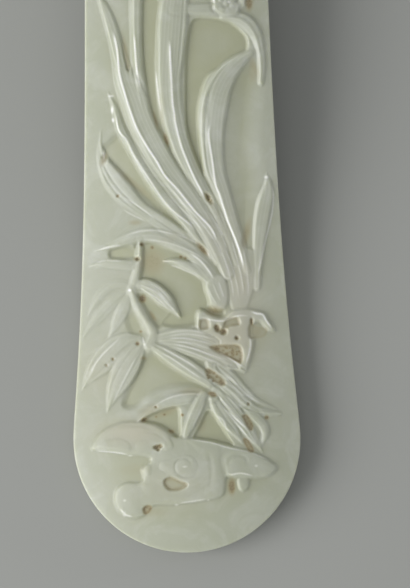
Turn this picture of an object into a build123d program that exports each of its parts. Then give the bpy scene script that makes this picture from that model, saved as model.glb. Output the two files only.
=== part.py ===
from build123d import *
import os
from math import asin, atan, atan2, cos, degrees, exp, hypot, pi, radians, sin, sqrt

os.makedirs("parts", exist_ok=True)

# A ceremonial scepter carved from one pale stone. It lies face up: X runs across, Y runs from the rounded
# tail to the lobed head, Z is up. The plain stone is a shaft and a head. Every carved leaf, stem, cap and
# petal that stands on them is a solid of its own, seated face to face on the ground behind it.

# ---------------------------------------------------------------- driving dimensions, mm and degrees
tail_radius = 34.0          # the tail is a half circle, as wide as the shaft there
waist_half_width = 25.3     # what the shaft narrows towards, over the arch
narrowing_length = 80.0     # the tail's extra width dies away by a factor e over this length
narrowing_ease = 5.0        # length over which the narrowing sets in
neck_half_width = 27.5      # where the shaft runs into the head
neck_length = 120.0         # the shaft widens again over this length before the head
shaft_thickness = 13.5      # along the middle of the face
face_crown = 2.4            # fall of the face from its middle to the edge of the tail
top_edge_round = 1.6
under_edge_round = 3.0

rest_end = 18.0             # the tail lies flat up to here, measured from its centre
arch_span = 268.0           # from the flat stretch to where the neck touches the table
arch_rise = 15.0
foot_share = 0.45           # part of each half of the arch that bends upward; the rest bends over
neck_bend_radius = 75.0
head_tilt = 30.0            # the head looks a little back towards the tail

head_width = 112.0
head_thickness = 18.0
head_dome_radius = 220.0
side_lobe_radius = 25.0
side_lobe_place = 21.0      # lobe centres, measured from the head's root
top_lobe_radius = 34.0
top_lobe_place = 45.0
notch_round = 9.0
head_edge_bevel = 2.0
rim_inset = 3.0
rim_width = 4.0
rim_height = 1.6

drawn_tail_radius = 34.0    # the shaft's carving is laid out for this radius and scales with the tail
drawn_head_width = 112.0    # and the head's for this width
carving_sink = 1.5          # how deep a motif starts under the face, before the stone is cut away from it
smallest_form = 1.5         # mm3; less than this, left between two crossing motifs, is no form
tip_share = 0.35            # a leaf's height at its thinnest tip, of its full height
shoulder_in, shoulder_up = 0.92, 0.45           # a leaf's shoulders, of its half width and of its crest
cushion_sink = 0.4          # a cushion starts this much deeper, of its height, because its foot is flat
cushion_rings = ((0, 1.0), (0.5, 0.98), (0.85, 0.86), (1.0, 0.62))      # share of its height, and outline there


# ---------------------------------------------------------------- the long S bend of the stone
arch_turn = degrees(2 * atan(2 * arch_rise / arch_span))
bend_sum = arch_span / 2 / sin(radians(arch_turn))
tongue_length = 20.0        # how far the shaft runs on inside the head

# each stretch is (bend radius, turn in degrees, up is positive) or (None, straight length)
stretches = [
    (None, tail_radius + rest_end),
    (foot_share * bend_sum, arch_turn),
    ((1 - foot_share) * bend_sum, -2 * arch_turn),
    (foot_share * bend_sum, arch_turn),
    (neck_bend_radius, head_tilt),
    (None, tongue_length),
]


def heading_vector(slope):
    return Vector(0, cos(slope), sin(slope))


def up_vector(slope):
    return Vector(0, -sin(slope), cos(slope))


def walk_underside():
    """The underside line, stretch by stretch: (start, slope at start, radius, turn or length, end)."""
    spot, slope = Vector(0, -tail_radius, 0), 0.0
    walked = []
    for radius, amount in stretches:
        if radius is None:
            end = spot + heading_vector(slope) * amount
            end_slope = slope
        else:
            side = 1 if amount > 0 else -1
            end_slope = slope + radians(amount)
            centre = spot + up_vector(slope) * radius * side
            end = centre - up_vector(end_slope) * radius * side
        walked.append((spot, slope, radius, amount, end))
        spot, slope = end, end_slope
    return walked, spot, slope


walked, tongue_end, head_slope = walk_underside()
head_root = walked[-1][0]


def height_along(y, lift=0.0):
    """Height and slope, above the place y, of the line that lies lift above the underside."""
    for spot, slope, radius, amount, end in walked:
        start = spot + up_vector(slope) * lift
        if radius is None:
            if y <= (end + up_vector(slope) * lift).Y or spot is walked[-1][0]:
                return start.Z + (y - start.Y) * sin(slope) / cos(slope), slope
            continue
        side = 1 if amount > 0 else -1
        end_slope = slope + radians(amount)
        bend = radius - side * lift
        centre = spot + up_vector(slope) * radius * side
        if y <= centre.Y + side * bend * sin(end_slope):
            here = asin(max(-1.0, min(1.0, side * (y - centre.Y) / bend)))
            return centre.Z - side * bend * cos(here), here


def crown_fall(x):
    """Fall of the face from its middle to the distance x."""
    return face_crown * (x / tail_radius) ** 2


shaft_scale = tail_radius / drawn_tail_radius
head_scale = head_width / drawn_head_width


def shaft_ground(x, y):
    """Point on the shaft's face and the direction straight out of the stone there."""
    x, y = x * shaft_scale, y * shaft_scale
    height, slope = height_along(y, shaft_thickness)
    reach = hypot(x, min(y, 0.0))           # round the tail the face falls away from the tail's centre
    fall = 2 * face_crown / tail_radius**2
    out = Vector(fall * x, fall * min(y, 0.0) - sin(slope) / cos(slope), 1).normalized()
    return Vector(x, y, height - crown_fall(reach)), out


head_plane = Plane(head_root, x_dir=(1, 0, 0), z_dir=up_vector(head_slope))
dome_centre = Vector(0, (side_lobe_place + top_lobe_place) / 2, head_thickness - head_dome_radius)


def head_ground(x, y):
    """The same for the head: x across and y along the head, from its root."""
    x, y = x * head_scale, y * head_scale
    reach = sqrt(head_dome_radius**2 - x**2 - (y - dome_centre.Y) ** 2)
    point = head_plane.from_local_coords(Vector(x, y, dome_centre.Z + reach))
    centre = head_plane.from_local_coords(dome_centre)
    return point, (point - centre).normalized()


# ---------------------------------------------------------------- shaft
def half_width(y):
    if y <= 0:
        return tail_radius
    extra = (tail_radius - waist_half_width) * exp(-(y**2) / (y + narrowing_ease) / narrowing_length)
    rise = max(0.0, min(1.0, 1 - (head_root.Y - y) / neck_length))
    return waist_half_width + extra + (neck_half_width - waist_half_width) * rise * rise * (3 - 2 * rise)


# Places of the sections: close together where the tail ends and where the neck bends.
stations = [0, 6, 14, 26, 42, 60, 80, 100, 120, 140, 160, 180, 200, 220, 240, 260, 278]
neck_start = walked[-2][0].Y
stations += [neck_start + share * (tongue_end.Y - neck_start) / 8 for share in range(9)]


def section_edges(y):
    """Right half of the shaft's section above the place y, from the middle of its foot to that of its face."""
    width = half_width(y)
    foot, face = height_along(y)[0], height_along(y, shaft_thickness)[0]
    lean = atan(2 * face_crown * width / tail_radius**2)     # of the face at its edge
    rim = width - top_edge_round * (1 - sin(lean))
    shoulder = face - crown_fall(rim)
    hub = shoulder - top_edge_round * cos(lean)
    half_turn = (pi / 2 + lean) / 2
    face_radius = (rim**2 + (face - shoulder) ** 2) / (2 * (face - shoulder))
    middle_turn = asin(rim / face_radius) / 2
    corner = under_edge_round * (1 - sqrt(0.5))
    return [
        Line((0, foot), (width - under_edge_round, foot)),
        ThreePointArc(
            (width - under_edge_round, foot), (width - corner, foot + corner), (width, foot + under_edge_round)
        ),
        Line((width, foot + under_edge_round), (width, hub)),
        ThreePointArc(
            (width, hub),
            (width - top_edge_round * (1 - sin(half_turn)), hub + top_edge_round * cos(half_turn)),
            (rim, shoulder),
        ),
        ThreePointArc(
            (rim, shoulder),
            (face_radius * sin(middle_turn), face - face_radius * (1 - cos(middle_turn))),
            (0, face),
        ),
    ]


def make_shaft():
    """Sections carried along the S bend up to the head's root, and one turned half a circle for the tail."""
    upright = Plane((0, 0, 0), x_dir=(1, 0, 0), z_dir=(0, -1, 0))
    half = section_edges(0)
    closing = Line((0, half[-1].position_at(1).Y), (0, half[0].position_at(0).Y))
    tail = revolve(upright * make_face(half + [closing]), Axis.Z, -180)
    sections = []
    for y in stations:
        half = section_edges(y)
        place = Plane((0, y, 0), x_dir=(1, 0, 0), z_dir=(0, -1, 0))
        sections.append(place * make_face(half + [mirror(edge, Plane.YZ) for edge in half]))
    beyond_joint = Pos(0, side_lobe_place - side_lobe_radius, 0) * Box(
        4 * neck_half_width,
        4 * tongue_length,
        8 * shaft_thickness,
        align=(Align.CENTER, Align.MIN, Align.CENTER),
    )
    return tail + loft(sections, ruled=True) - head_plane.location * beyond_joint


# ---------------------------------------------------------------- head
def head_outline():
    """Cloud outline of the head: two side lobes, one top lobe, and the root between the side lobes."""
    lobe_across = head_width / 2 - side_lobe_radius
    lobes = Pos(lobe_across, side_lobe_place) * Circle(side_lobe_radius)
    lobes += Pos(-lobe_across, side_lobe_place) * Circle(side_lobe_radius)
    lobes += Pos(0, top_lobe_place) * Circle(top_lobe_radius)
    foot = side_lobe_place - side_lobe_radius
    shoulder = side_lobe_place + side_lobe_radius / 2
    lobes += Pos(0, (foot + shoulder) / 2) * Rectangle(2 * lobe_across, shoulder - foot)
    notches = lobes.vertices().sort_by(Axis.Y)[-2:]
    return fillet(notches, notch_round)


def inner_outline(inset):
    """The head's outline drawn further in. Every arc keeps its centre, so it also holds where the lobes part."""
    side = Vector(head_width / 2 - side_lobe_radius, side_lobe_place)
    top = Vector(0, top_lobe_place)
    across = top - side
    side_reach, top_reach = side_lobe_radius + notch_round, top_lobe_radius + notch_round
    share = (side_reach**2 - top_reach**2 + across.length**2) / (2 * across.length)
    notch = side + across.normalized() * share
    notch += Vector(across.Y, -across.X).normalized() * sqrt(side_reach**2 - share**2)
    side_radius, top_radius = side_lobe_radius - inset, top_lobe_radius - inset
    to_notch = notch - side
    middle = (atan2(to_notch.Y, to_notch.X) - pi / 2) / 2
    root = side - Vector(0, side_radius)
    meet_side = side + to_notch.normalized() * side_radius
    meet_top = top + (notch - top).normalized() * top_radius
    inward = ((side - notch).normalized() + (top - notch).normalized()).normalized()
    right = [
        ThreePointArc(root, side + Vector(cos(middle), sin(middle)) * side_radius, meet_side),
        ThreePointArc(meet_side, notch + inward * (notch_round + inset), meet_top),
    ]
    crown = ThreePointArc(meet_top, top + Vector(0, top_radius), Vector(-meet_top.X, meet_top.Y))
    foot = Line(root, Vector(-root.X, root.Y))
    return make_face([*right, crown, *[mirror(arc, Plane.YZ) for arc in right], foot])


def dome(extra=0.0):
    """Ball whose upper part is the head's face, or lies above it by extra. Its poles lie sideways."""
    return Pos(*dome_centre) * Rot(0, 90, 0) * Sphere(head_dome_radius + extra)


def make_head():
    plate = extrude(head_outline(), amount=head_thickness) & dome()
    rim_edges = [edge for edge in plate.edges() if abs(edge.tangent_at(0.5).Z) < 0.8]
    return head_plane.location * chamfer(rim_edges, head_edge_bevel)


def make_head_rim():
    ring = inner_outline(rim_inset) - inner_outline(rim_inset + rim_width)
    band = extrude(ring, amount=head_thickness + rim_height) & dome(rim_height)
    return head_plane.location * (band - dome())


# ---------------------------------------------------------------- carved forms
def ridged_leaf(ground, spine, height):
    """A blade with a ridge along it, through (x, y, width) from root to tip, lower where it is narrow."""
    scale = head_scale if ground is head_ground else shaft_scale
    widest = max(width for x, y, width in spine)
    spots = [ground(x, y) for x, y, width in spine]
    sections = []
    for index, ((x, y, width), (point, out)) in enumerate(zip(spine, spots)):
        before = spots[max(index - 1, 0)][0]
        after = spots[min(index + 1, len(spots) - 1)][0]
        along = (after - before).normalized()
        across = out.cross(along)
        frame = Plane(point, x_dir=across, z_dir=along)
        half = width * scale / 2
        crest = height * scale * (tip_share + (1 - tip_share) * sqrt(width / widest))
        brow, shoulder = shoulder_in * half, shoulder_up * crest
        profile = Polyline(
            (-half, -carving_sink),
            (half, -carving_sink),
            (brow, shoulder),
            (0, crest),
            (-brow, shoulder),
            close=True,
        )
        sections.append(frame * make_face(profile))
    return loft(sections, ruled=True)


def cushion(ground, centre, outline, height, holes=()):
    """A form with a rounded top and a spline outline, standing on the ground around its centre."""
    scale = head_scale if ground is head_ground else shaft_scale
    point, out = ground(*centre)
    seat = Plane(point, x_dir=Vector(1, 0, 0) - out * out.X, z_dir=out)
    corners = [((x - centre[0]) * scale, (y - centre[1]) * scale) for x, y in outline]
    rings = []
    for up, share in cushion_rings:
        ring = [(x * share, y * share) for x, y in corners]
        level = up * height * scale if up else -carving_sink - cushion_sink * height
        rings.append(Pos(0, 0, level) * make_face(Spline(*ring, periodic=True)))
    form = loft(rings, ruled=True)
    for x, y, radius in holes:
        place = Pos((x - centre[0]) * scale, (y - centre[1]) * scale, 0)
        form -= place * Cylinder(radius * scale, 6 * height)
    return seat.location * form


# Spines of the leaves on the shaft, root to tip: (across, along from the tail's centre, width).
strap_leaves = {
    "leaf_outer": [
        (13.5, 49, 4.5), (10.5, 57, 5.5), (7, 64, 6), (2.5, 71, 6.5), (-1.5, 76.5, 7), (-5.5, 82.5, 7.5),
        (-9, 89, 8), (-11.7, 95, 8), (-13.6, 101, 8), (-15.6, 107, 7), (-17.2, 114, 5), (-18.6, 121, 4),
        (-20.8, 127, 3), (-24, 134, 0.8),
    ],
    "leaf_outer_fork": [
        (-9, 94, 3), (-11, 102, 4.5), (-12.2, 110, 5), (-12.4, 119, 5.2), (-12, 130, 5), (-10.8, 143, 4.4),
        (-8.5, 156, 3), (-6, 166, 0.7),
    ],
    "leaf_wide_right": [
        (19, 50, 4), (17, 57, 4.6), (15.3, 62, 5), (13.5, 68, 5.5), (11.5, 74.5, 5.8), (10, 80, 6.8),
        (9.5, 87, 7.4), (9.7, 93, 7.8), (10.3, 99, 8.4), (11.8, 104, 8.6), (14.5, 108.7, 7.6), (18.3, 112, 5.2),
        (22, 114.6, 1),
    ],
    "leaf_centre": [
        (15.5, 52, 3.5), (12.2, 61, 4.5), (8.8, 68.5, 5), (5.6, 75, 5.5), (3, 80.5, 6), (0.8, 86, 6.8),
        (-1, 92, 7.4), (-2, 99, 8), (-2.4, 107, 8.4), (-2.3, 115, 9), (-1.6, 124, 9), (0.2, 136, 8),
        (3.2, 149, 6), (7, 162, 3.2), (9.5, 170, 0.8),
    ],
    "leaf_edge": [
        (10.5, 53, 3.4), (6.5, 58.5, 4), (2.5, 64, 4.4), (-1, 67.9, 4.5), (-4.3, 71.9, 4.5), (-7.5, 76.2, 4.5),
        (-10, 80.2, 4.4), (-12.4, 84.2, 4), (-14.6, 88, 3.6), (-16.8, 91.6, 3.2), (-18, 95, 3), (-18.8, 99, 2.2),
        (-20.3, 103.4, 0.7),
    ],
    "leaf_short_right": [
        (20.5, 45, 3.2), (21.8, 52, 3.6), (22.6, 58, 4.2), (23.6, 64, 5), (25, 70, 5), (25.8, 74.5, 3.4),
        (25.5, 78.8, 0.7),
    ],
    "leaf_low_left": [
        (10, 47.5, 4), (7, 51.5, 4.6), (3, 55.6, 5), (-2, 58.9, 5.5), (-7, 60.8, 5), (-12, 61.2, 4.6),
        (-17, 60, 4), (-21.5, 58.4, 2.8), (-25.8, 56.8, 0.7),
    ],
    "leaf_low_small": [(8.5, 47, 3.6), (4, 50.6, 4.2), (0, 52.3, 3.6), (-3, 53, 2.2), (-5.6, 53.4, 0.6)],
    "leaf_folded": [
        (2, 60, 4.5), (-3, 63, 5.2), (-8, 66.3, 4.8), (-12.5, 69.6, 5.4), (-17, 74, 7.6), (-20.5, 78.6, 7.8),
        (-22.9, 83.6, 5), (-23.6, 88.5, 2.4), (-22.9, 93.6, 0.7),
    ],
}

bamboo_leaves = {
    "bamboo_leaf_level": [
        (-11.5, 51, 3.2), (-15.5, 52.2, 4), (-20, 52.7, 3.8), (-24.5, 52.7, 2.4), (-28, 52.6, 0.6),
    ],
    "bamboo_leaf_inner": [
        (-14.5, 46.3, 2.2), (-11.5, 46.4, 4), (-8.5, 44.5, 5), (-5.5, 41.7, 4.6), (-3.2, 39.2, 2.6),
        (-1.2, 36.8, 0.6),
    ],
    "bamboo_leaf_fan_top": [
        (-15.5, 46.6, 2.2), (-20, 47, 3.4), (-24, 44.6, 3.4), (-26.8, 41, 2.6), (-28.6, 37, 0.6),
    ],
    "bamboo_leaf_fan_middle": [
        (-16, 45.4, 2.2), (-20.5, 42, 3.8), (-25, 37.6, 3.8), (-28.4, 33.6, 2.4), (-31, 30.2, 0.6),
    ],
    "bamboo_leaf_fan_low": [
        (-15.8, 44.2, 2.2), (-17.8, 40, 4.2), (-19.8, 36, 3.8), (-21.5, 32.8, 2.2), (-22.9, 30.2, 0.6),
    ],
    "bamboo_leaf_big_low": [
        (-13.2, 28.5, 2.6), (-15.5, 24.6, 5), (-18, 20.5, 5.8), (-20.3, 16.3, 4.8), (-22, 12.5, 3),
        (-23.4, 8.8, 0.6),
    ],
    "bamboo_leaf_big_left": [
        (-13.6, 30.4, 2.4), (-18, 29.8, 4.8), (-22, 27, 6), (-25.6, 23.6, 5.4), (-28.6, 20, 3.2),
        (-30.8, 16.2, 0.6),
    ],
    "bamboo_leaf_right_low": [
        (-9, 27.7, 2.8), (-4.6, 25.2, 4), (0.9, 21.5, 4.6), (5.3, 18.5, 4), (8, 16.1, 2.6),
        (10.4, 14.2, 0.8),
    ],
    "bamboo_leaf_right_middle": [
        (-7.5, 28.4, 2.8), (-2, 27.8, 3.8), (3, 26.8, 4.2), (8, 24.9, 3.9), (13, 22.6, 3),
        (18.2, 20.2, 0.7),
    ],
    "bamboo_leaf_right_top": [
        (-8.3, 29.8, 2.6), (-3, 30.6, 3.8), (2, 30.9, 4), (7, 30.3, 3.5), (12, 29.2, 2.4),
        (17, 28.3, 0.6),
    ],
    "bamboo_leaf_long_right": [
        (11.3, 20, 2.4), (13.8, 16, 4.4), (16.5, 12.8, 4.8), (19.6, 10.3, 4), (23, 8.7, 3.2),
        (26, 7.8, 2.2), (27.9, 6.9, 0.6),
    ],
    "bamboo_leaf_long_low": [
        (9.5, 13.8, 2.8), (12, 10, 4.2), (15, 6.8, 4.4), (18, 3.4, 3.8), (20.6, 0, 2.6),
        (22.6, -2.7, 0.6),
    ],
    "bamboo_leaf_short_low": [
        (8.2, 12.6, 2.4), (9.6, 8.6, 3.5), (12, 4.9, 3.8), (14.5, 2, 2.6), (16.4, -0.4, 0.6),
    ],
    "bamboo_leaf_hook": [
        (17.6, 8, 2.4), (20.6, 6, 3.2), (22.9, 3.2, 3.2), (23.7, 0.3, 2.4), (22.8, -2.6, 0.7),
    ],
    "bamboo_leaf_down": [(4.5, 13, 2.6), (3, 9.5, 3.5), (1.3, 5.6, 3.3), (-0.3, 2, 2.2), (-1.3, -0.6, 0.6)],
    "bamboo_leaf_arch": [
        (8, 12, 2.4), (4, 12.4, 3.4), (0, 12.1, 4), (-4, 11.4, 4), (-8, 10, 3.4), (-11.5, 7.9, 2.2),
        (-14, 5.8, 0.6),
    ],
}

petals = {
    "petal_hanging": [
        (14.5, 124.8, 2.6), (18.5, 123.9, 4.4), (21.6, 121.2, 4.8), (23.6, 117.5, 3.2),
        (24.3, 112.5, 2.8), (24.3, 108.5, 2.2), (24.1, 105.2, 0.8),
    ],
    "petal_left": [(14.5, 128.6, 2.2), (12, 130.6, 3.2), (10.4, 134, 2.6), (9.8, 138, 0.6)],
    "petal_up": [(16.4, 129.6, 2.4), (17.4, 134, 4), (17.4, 138.5, 2.8), (16.6, 142.5, 0.6)],
    "petal_right": [(18, 127.8, 2.6), (21.2, 130.6, 3.6), (23.4, 134.6, 2.6), (24, 138.6, 0.6)],
}

stems = {
    "bamboo_stem_upper": [(-11.9, 59.5, 2.4), (-12, 54.5, 2.8), (-12.8, 49.6, 3), (-14.6, 45, 2.6)],
    "bamboo_stem_lower": [
        (-15, 43.4, 2.8), (-13.4, 39.5, 3.2), (-11.5, 35.8, 3.2), (-9.8, 32.6, 3.2),
        (-10.6, 29.4, 4.4),
    ],
    "blossom_stalk": [(1.5, 126, 2.4), (5, 127.3, 2.8), (9, 127.7, 2.8), (13, 127.3, 2.4)],
    "upper_stalk": [
        (-5, 131, 1.8), (-6.6, 146, 1.9), (-5.6, 161, 1.9), (-2.6, 176, 1.8), (1.2, 189, 1.6),
        (4.6, 199, 1.4),
    ],
}

# Cushioned forms on the shaft: (centre, outline, height, pierced holes as (across, along, radius)).
cushions = {
    "rock": (
        (12.5, 29.5),
        [
            (3.6, 35.2), (4.6, 38), (8.4, 36.8), (11.6, 36.4), (14.4, 38), (19, 38.4), (23.4, 37.4),
            (25.2, 34.6), (27, 31.4), (24, 31.8), (21, 29.6), (19.8, 25), (18.2, 20), (14.6, 20.2),
            (11, 19), (8, 20.6), (5.6, 25.6), (4.2, 31),
        ],
        3.4,
        (
            (9.8, 33, 0.9), (11.8, 32.2, 0.9), (14.2, 34.2, 1.3), (6, 34, 0.9), (9.8, 26.9, 0.8),
            (12.4, 26, 1.1), (15.2, 25.2, 1.6), (21.2, 32.2, 1.2), (7.2, 20.2, 0.7),
        ),
    ),
    "root_stalk": (
        (17.5, 45),
        [(14.2, 37), (18.6, 37), (20.7, 43), (22.4, 49), (22.6, 54), (19.6, 55.5), (16.5, 53.5), (13.4, 46)],
        3.6,
        (),
    ),
    "bud_sheath": (
        (10, 43.5),
        [(12.6, 38.2), (13.6, 43), (12.2, 48.2), (8.6, 48.4), (6.6, 46), (7, 42.4), (8.4, 39.8)],
        3.8,
        (),
    ),
    "lingzhi_scroll": (
        (-0.8, -8),
        [(3.4, -8), (2, -4.9), (-1, -3.8), (-4.2, -5.2), (-5.2, -8), (-4, -11), (-1, -12), (2.2, -11)],
        5.2,
        (),
    ),
    "lingzhi_cap_left": (
        (-16, 0),
        [
            (-28.8, -2.2), (-26, 2.2), (-20, 4.9), (-14.5, 5.4), (-9.5, 4), (-5, 1.6), (-3.8, -1.6),
            (-7, -5), (-12, -5.8), (-16.8, -5.2), (-23, -4.2),
        ],
        4.4,
        ((-8.9, -2.2, 1.3),),
    ),
    "lingzhi_cap_right": (
        (17, -7.5),
        [
            (10.4, -8.8), (11, -4), (15, -2.6), (20, -4.1), (24.6, -6.4), (27, -9), (25, -11.4), (20, -12.4),
            (14.6, -12),
        ],
        4.8,
        (),
    ),
    "lingzhi_trunk": (
        (6, -8),
        [
            (-2.6, -0.6), (3, 0.9), (8, -0.4), (11.6, -2.6), (11.4, -8), (11.5, -13), (10.4, -17.2),
            (6.6, -18.2), (4.2, -14), (3.6, -8.5), (1, -4),
        ],
        4.2,
        (),
    ),
    "lingzhi_knob": (
        (-11.6, -9),
        [(-9.6, -9), (-10.6, -6.8), (-12.8, -7), (-13.6, -9.2), (-12.4, -11.4), (-10.4, -11)],
        3.4,
        (),
    ),
    "lingzhi_base": (
        (-5, -15.6),
        [
            (-14, -12.4), (-8, -11.4), (-3, -12.4), (2.4, -12.6), (4, -16), (5.4, -18.5), (0, -19.4),
            (-5, -20), (-10, -21.4), (-13.6, -22), (-14.6, -17),
        ],
        3.4,
        ((-5, -13.6, 1.5), (-3, -13.9, 1.2)),
    ),
    "lingzhi_lobe_low": (
        (-18, -18),
        [
            (-14, -13.4), (-13, -17.6), (-14, -22), (-17, -23.3),
            (-20.8, -21.4), (-23, -17.4), (-22.4, -13.6), (-18, -12.2),
        ],
        3.6,
        (),
    ),
    "lingzhi_tab": (
        (16.5, -13.6),
        [(18.4, -12), (18.4, -15), (16.6, -16.2), (14.6, -15), (14.6, -12), (16.5, -11)],
        2.6,
        (),
    ),
    "blossom_heart": (
        (15.4, 127.4),
        [(12.8, 127.4), (14, 129.6), (16.4, 130), (18.2, 128), (17.6, 125.6), (14.8, 125)],
        3.6,
        (),
    ),
    "upper_bud_low": (
        (-8.6, 150),
        [(-6.8, 147.4), (-7, 151), (-9.4, 154), (-10.8, 152), (-9.6, 148.4)],
        2.6,
        (),
    ),
    "upper_bud_high": (
        (-7.4, 170),
        [(-5, 167.4), (-5.4, 171), (-8.2, 174), (-9.8, 171.8), (-8.4, 168.4)],
        2.6,
        (),
    ),
}

upper_petals = [
    [(4, 200.6, 2), (1, 203.4, 3.2), (-1.4, 207.6, 2.4), (-2, 211.6, 0.6)],
    [(5.4, 201.4, 2.2), (5.6, 206, 3.6), (5.8, 210.6, 2.6), (5.6, 214.6, 0.6)],
    [(6.6, 200.6, 2), (9.8, 203, 3.2), (12.2, 207, 2.4), (13, 211, 0.6)],
    [(5.6, 198.8, 2.2), (9.4, 196.6, 3.2), (11.8, 192.8, 2.4), (12.6, 189, 0.6)],
]

# On the head, the same kinds of form measured from the head's root.
head_leaves = {
    "head_leaf_long": [
        (-2, 8, 3.4), (-9, 17, 5), (-17, 25, 6), (-25.5, 30.5, 5), (-33, 32.4, 2.8), (-38, 31.4, 0.7),
    ],
    "head_leaf_tall": [
        (0, 9, 3.4), (-3.4, 21, 5), (-8.4, 34, 6), (-14, 46, 5), (-19, 55, 2.8), (-22, 60.6, 0.7),
    ],
    "head_leaf_right": [(3, 8, 3.2), (11, 13.4, 5), (20, 17, 5.4), (29, 17.4, 3.8), (36.4, 15, 0.8)],
}
head_stalk = {"head_stalk": [(1.6, 10, 2.2), (5, 22, 2.2), (9.4, 33, 2.2), (13, 41, 2)]}
head_petals = [
    [(12.6, 43.4, 2.6), (7.6, 48.4, 5), (4.4, 55, 4), (4, 61.4, 0.7)],
    [(15, 44.6, 2.8), (15.8, 52, 5.4), (15, 59.4, 4), (13.4, 65.4, 0.7)],
    [(16.4, 43, 2.6), (22.4, 46, 5), (27.4, 51, 4), (30, 56.6, 0.7)],
    [(15.6, 40.4, 2.6), (21, 36.6, 5), (27, 35.4, 3.8), (32.6, 36.6, 0.7)],
]
head_heart = (
    (14.4, 42.4),
    [(17, 42.4), (15.6, 45), (12.8, 44.8), (11.6, 42), (13.2, 39.8), (16, 40)],
    3.2,
    (),
)

strap_height = 4.2
bamboo_height = 2.8
petal_height = 3.2
stem_height = 2.6
head_leaf_height = 3.4


# ---------------------------------------------------------------- seating every form in the stone
def apart(a, b):
    """True if two boxes don't meet."""
    return (
        a.max.X < b.min.X or b.max.X < a.min.X
        or a.max.Y < b.min.Y or b.max.Y < a.min.Y
        or a.max.Z < b.min.Z or b.max.Z < a.min.Z
    )


nodes, boxes = {}, {}


def keep(name, form):
    nodes[name] = form
    boxes[name] = form.bounding_box()


def seat(name, form, stone):
    """Cuts the form back to what shows: the stone and the forms already in front of it stay whole."""
    form = form - stone
    box = form.bounding_box()
    for other, other_box in boxes.items():
        if other not in ("shaft", "head") and not apart(box, other_box):
            form = form - nodes[other]
    pieces = [piece for piece in form.solids() if piece.volume > smallest_form]
    keep(name, Compound(pieces) if len(pieces) > 1 else pieces[0])


def seat_group(name, spines, ground, height, stone):
    """Seats several leaves one by one and keeps them as one group of separate solids."""
    members = []
    for index, spine in enumerate(spines):
        member = f"{name}_{index}"
        seat(member, ridged_leaf(ground, spine, height), stone)
        boxes.pop(member)
        members += nodes.pop(member).solids()
    keep(name, Compound(members))


shaft = make_shaft()
head = make_head()
keep("head", head)
keep("shaft", shaft)
keep("head_rim", make_head_rim())

for name, (centre, outline, height, holes) in cushions.items():
    seat(name, cushion(shaft_ground, centre, outline, height, holes), shaft)
for spines, height in (
    (strap_leaves, strap_height),
    (bamboo_leaves, bamboo_height),
    (petals, petal_height),
    (stems, stem_height),
):
    for name, spine in spines.items():
        seat(name, ridged_leaf(shaft_ground, spine, height), shaft)
seat_group("upper_petals", upper_petals, shaft_ground, petal_height, shaft)

seat("head_heart", cushion(head_ground, *head_heart), head)
seat_group("head_petals", head_petals, head_ground, petal_height, head)
for spines, height in ((head_leaves, head_leaf_height), (head_stalk, stem_height)):
    for name, spine in spines.items():
        seat(name, ridged_leaf(head_ground, spine, height), head)

# The origin is the middle of the footprint, on the table.
left, right = min(box.min.X for box in boxes.values()), max(box.max.X for box in boxes.values())
back, front = min(box.min.Y for box in boxes.values()), max(box.max.Y for box in boxes.values())
table = min(box.min.Z for box in boxes.values())
to_origin = Pos(-(left + right) / 2, -(back + front) / 2, -table)
for name, form in nodes.items():
    export_step(to_origin * form, f"parts/{name}.step")
    print(f"{name:26s} {form.volume:10.1f} mm3 in {len(form.solids())}")
print("across", right - left, "long", front - back, "tail centre at", to_origin.position)
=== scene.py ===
import math
import bpy
import numpy as np
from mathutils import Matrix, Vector


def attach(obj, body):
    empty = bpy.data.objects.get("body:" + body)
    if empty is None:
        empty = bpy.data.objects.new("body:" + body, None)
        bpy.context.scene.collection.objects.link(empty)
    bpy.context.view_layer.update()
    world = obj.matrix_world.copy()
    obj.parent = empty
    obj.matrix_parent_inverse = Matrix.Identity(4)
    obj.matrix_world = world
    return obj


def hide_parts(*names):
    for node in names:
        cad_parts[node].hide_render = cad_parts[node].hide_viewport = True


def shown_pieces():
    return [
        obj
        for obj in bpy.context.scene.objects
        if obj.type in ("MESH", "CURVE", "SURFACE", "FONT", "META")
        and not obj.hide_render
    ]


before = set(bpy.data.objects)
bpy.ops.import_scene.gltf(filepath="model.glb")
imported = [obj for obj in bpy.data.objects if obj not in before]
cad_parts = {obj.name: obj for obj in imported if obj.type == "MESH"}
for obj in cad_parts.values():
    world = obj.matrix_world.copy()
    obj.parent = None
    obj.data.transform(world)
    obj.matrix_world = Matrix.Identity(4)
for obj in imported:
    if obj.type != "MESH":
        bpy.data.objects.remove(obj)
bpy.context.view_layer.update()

# A pale jade scepter lying face up. Everything is worked out in mm in the carving's own frame, x across and
# y along from the centre of the round tail, and moved to the row frame when a mesh is made.
MM = 0.001
TAIL_Y = -178.458
GRID = 0.22      # spacing of the carved grid
COLS = 0.28     # spacing of the stone's mesh
RELIEF = 0.38                           # share of the drawn heights that the forms really stand
NO_FORM = -9.0                          # height of a sheet where it holds no form

# ------------------------------------------------------------------ the plain stone
TAIL_R, WAIST, NECK, NARROWING, EASE = 34.0, 25.3, 27.5, 80.0, 5.0
THICK, CROWN = 13.5, 5.0
TOP_ROUND, FOOT_ROUND = 0.35, 3.0
REST_END, ARCH_SPAN, ARCH_RISE, FOOT_SHARE = 18.0, 268.0, 15.0, 0.45
NECK_BEND, NECK_LENGTH, TILT = 75.0, 120.0, math.radians(30)
TONGUE = 20.0                           # the shaft's straight end inside the head
HEAD_FOOT = 4.0                         # the head's straight foot lies this far before its root

# Rows of the stone's mesh: fine up to the leaves' ends, coarser up to the carving's end, then plain.
FINE_END, CARVING_END, PLAIN_START, PLAIN_END = 142, 214, 216, 296
COARSE_STEP, PLAIN_STEP = 1.6 * COLS, 1.6
CLOSING_ROWS = 25                       # from the last plain row to the head
FACE_BAND = 2.5                         # the tones reach this far below the plain face


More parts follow.
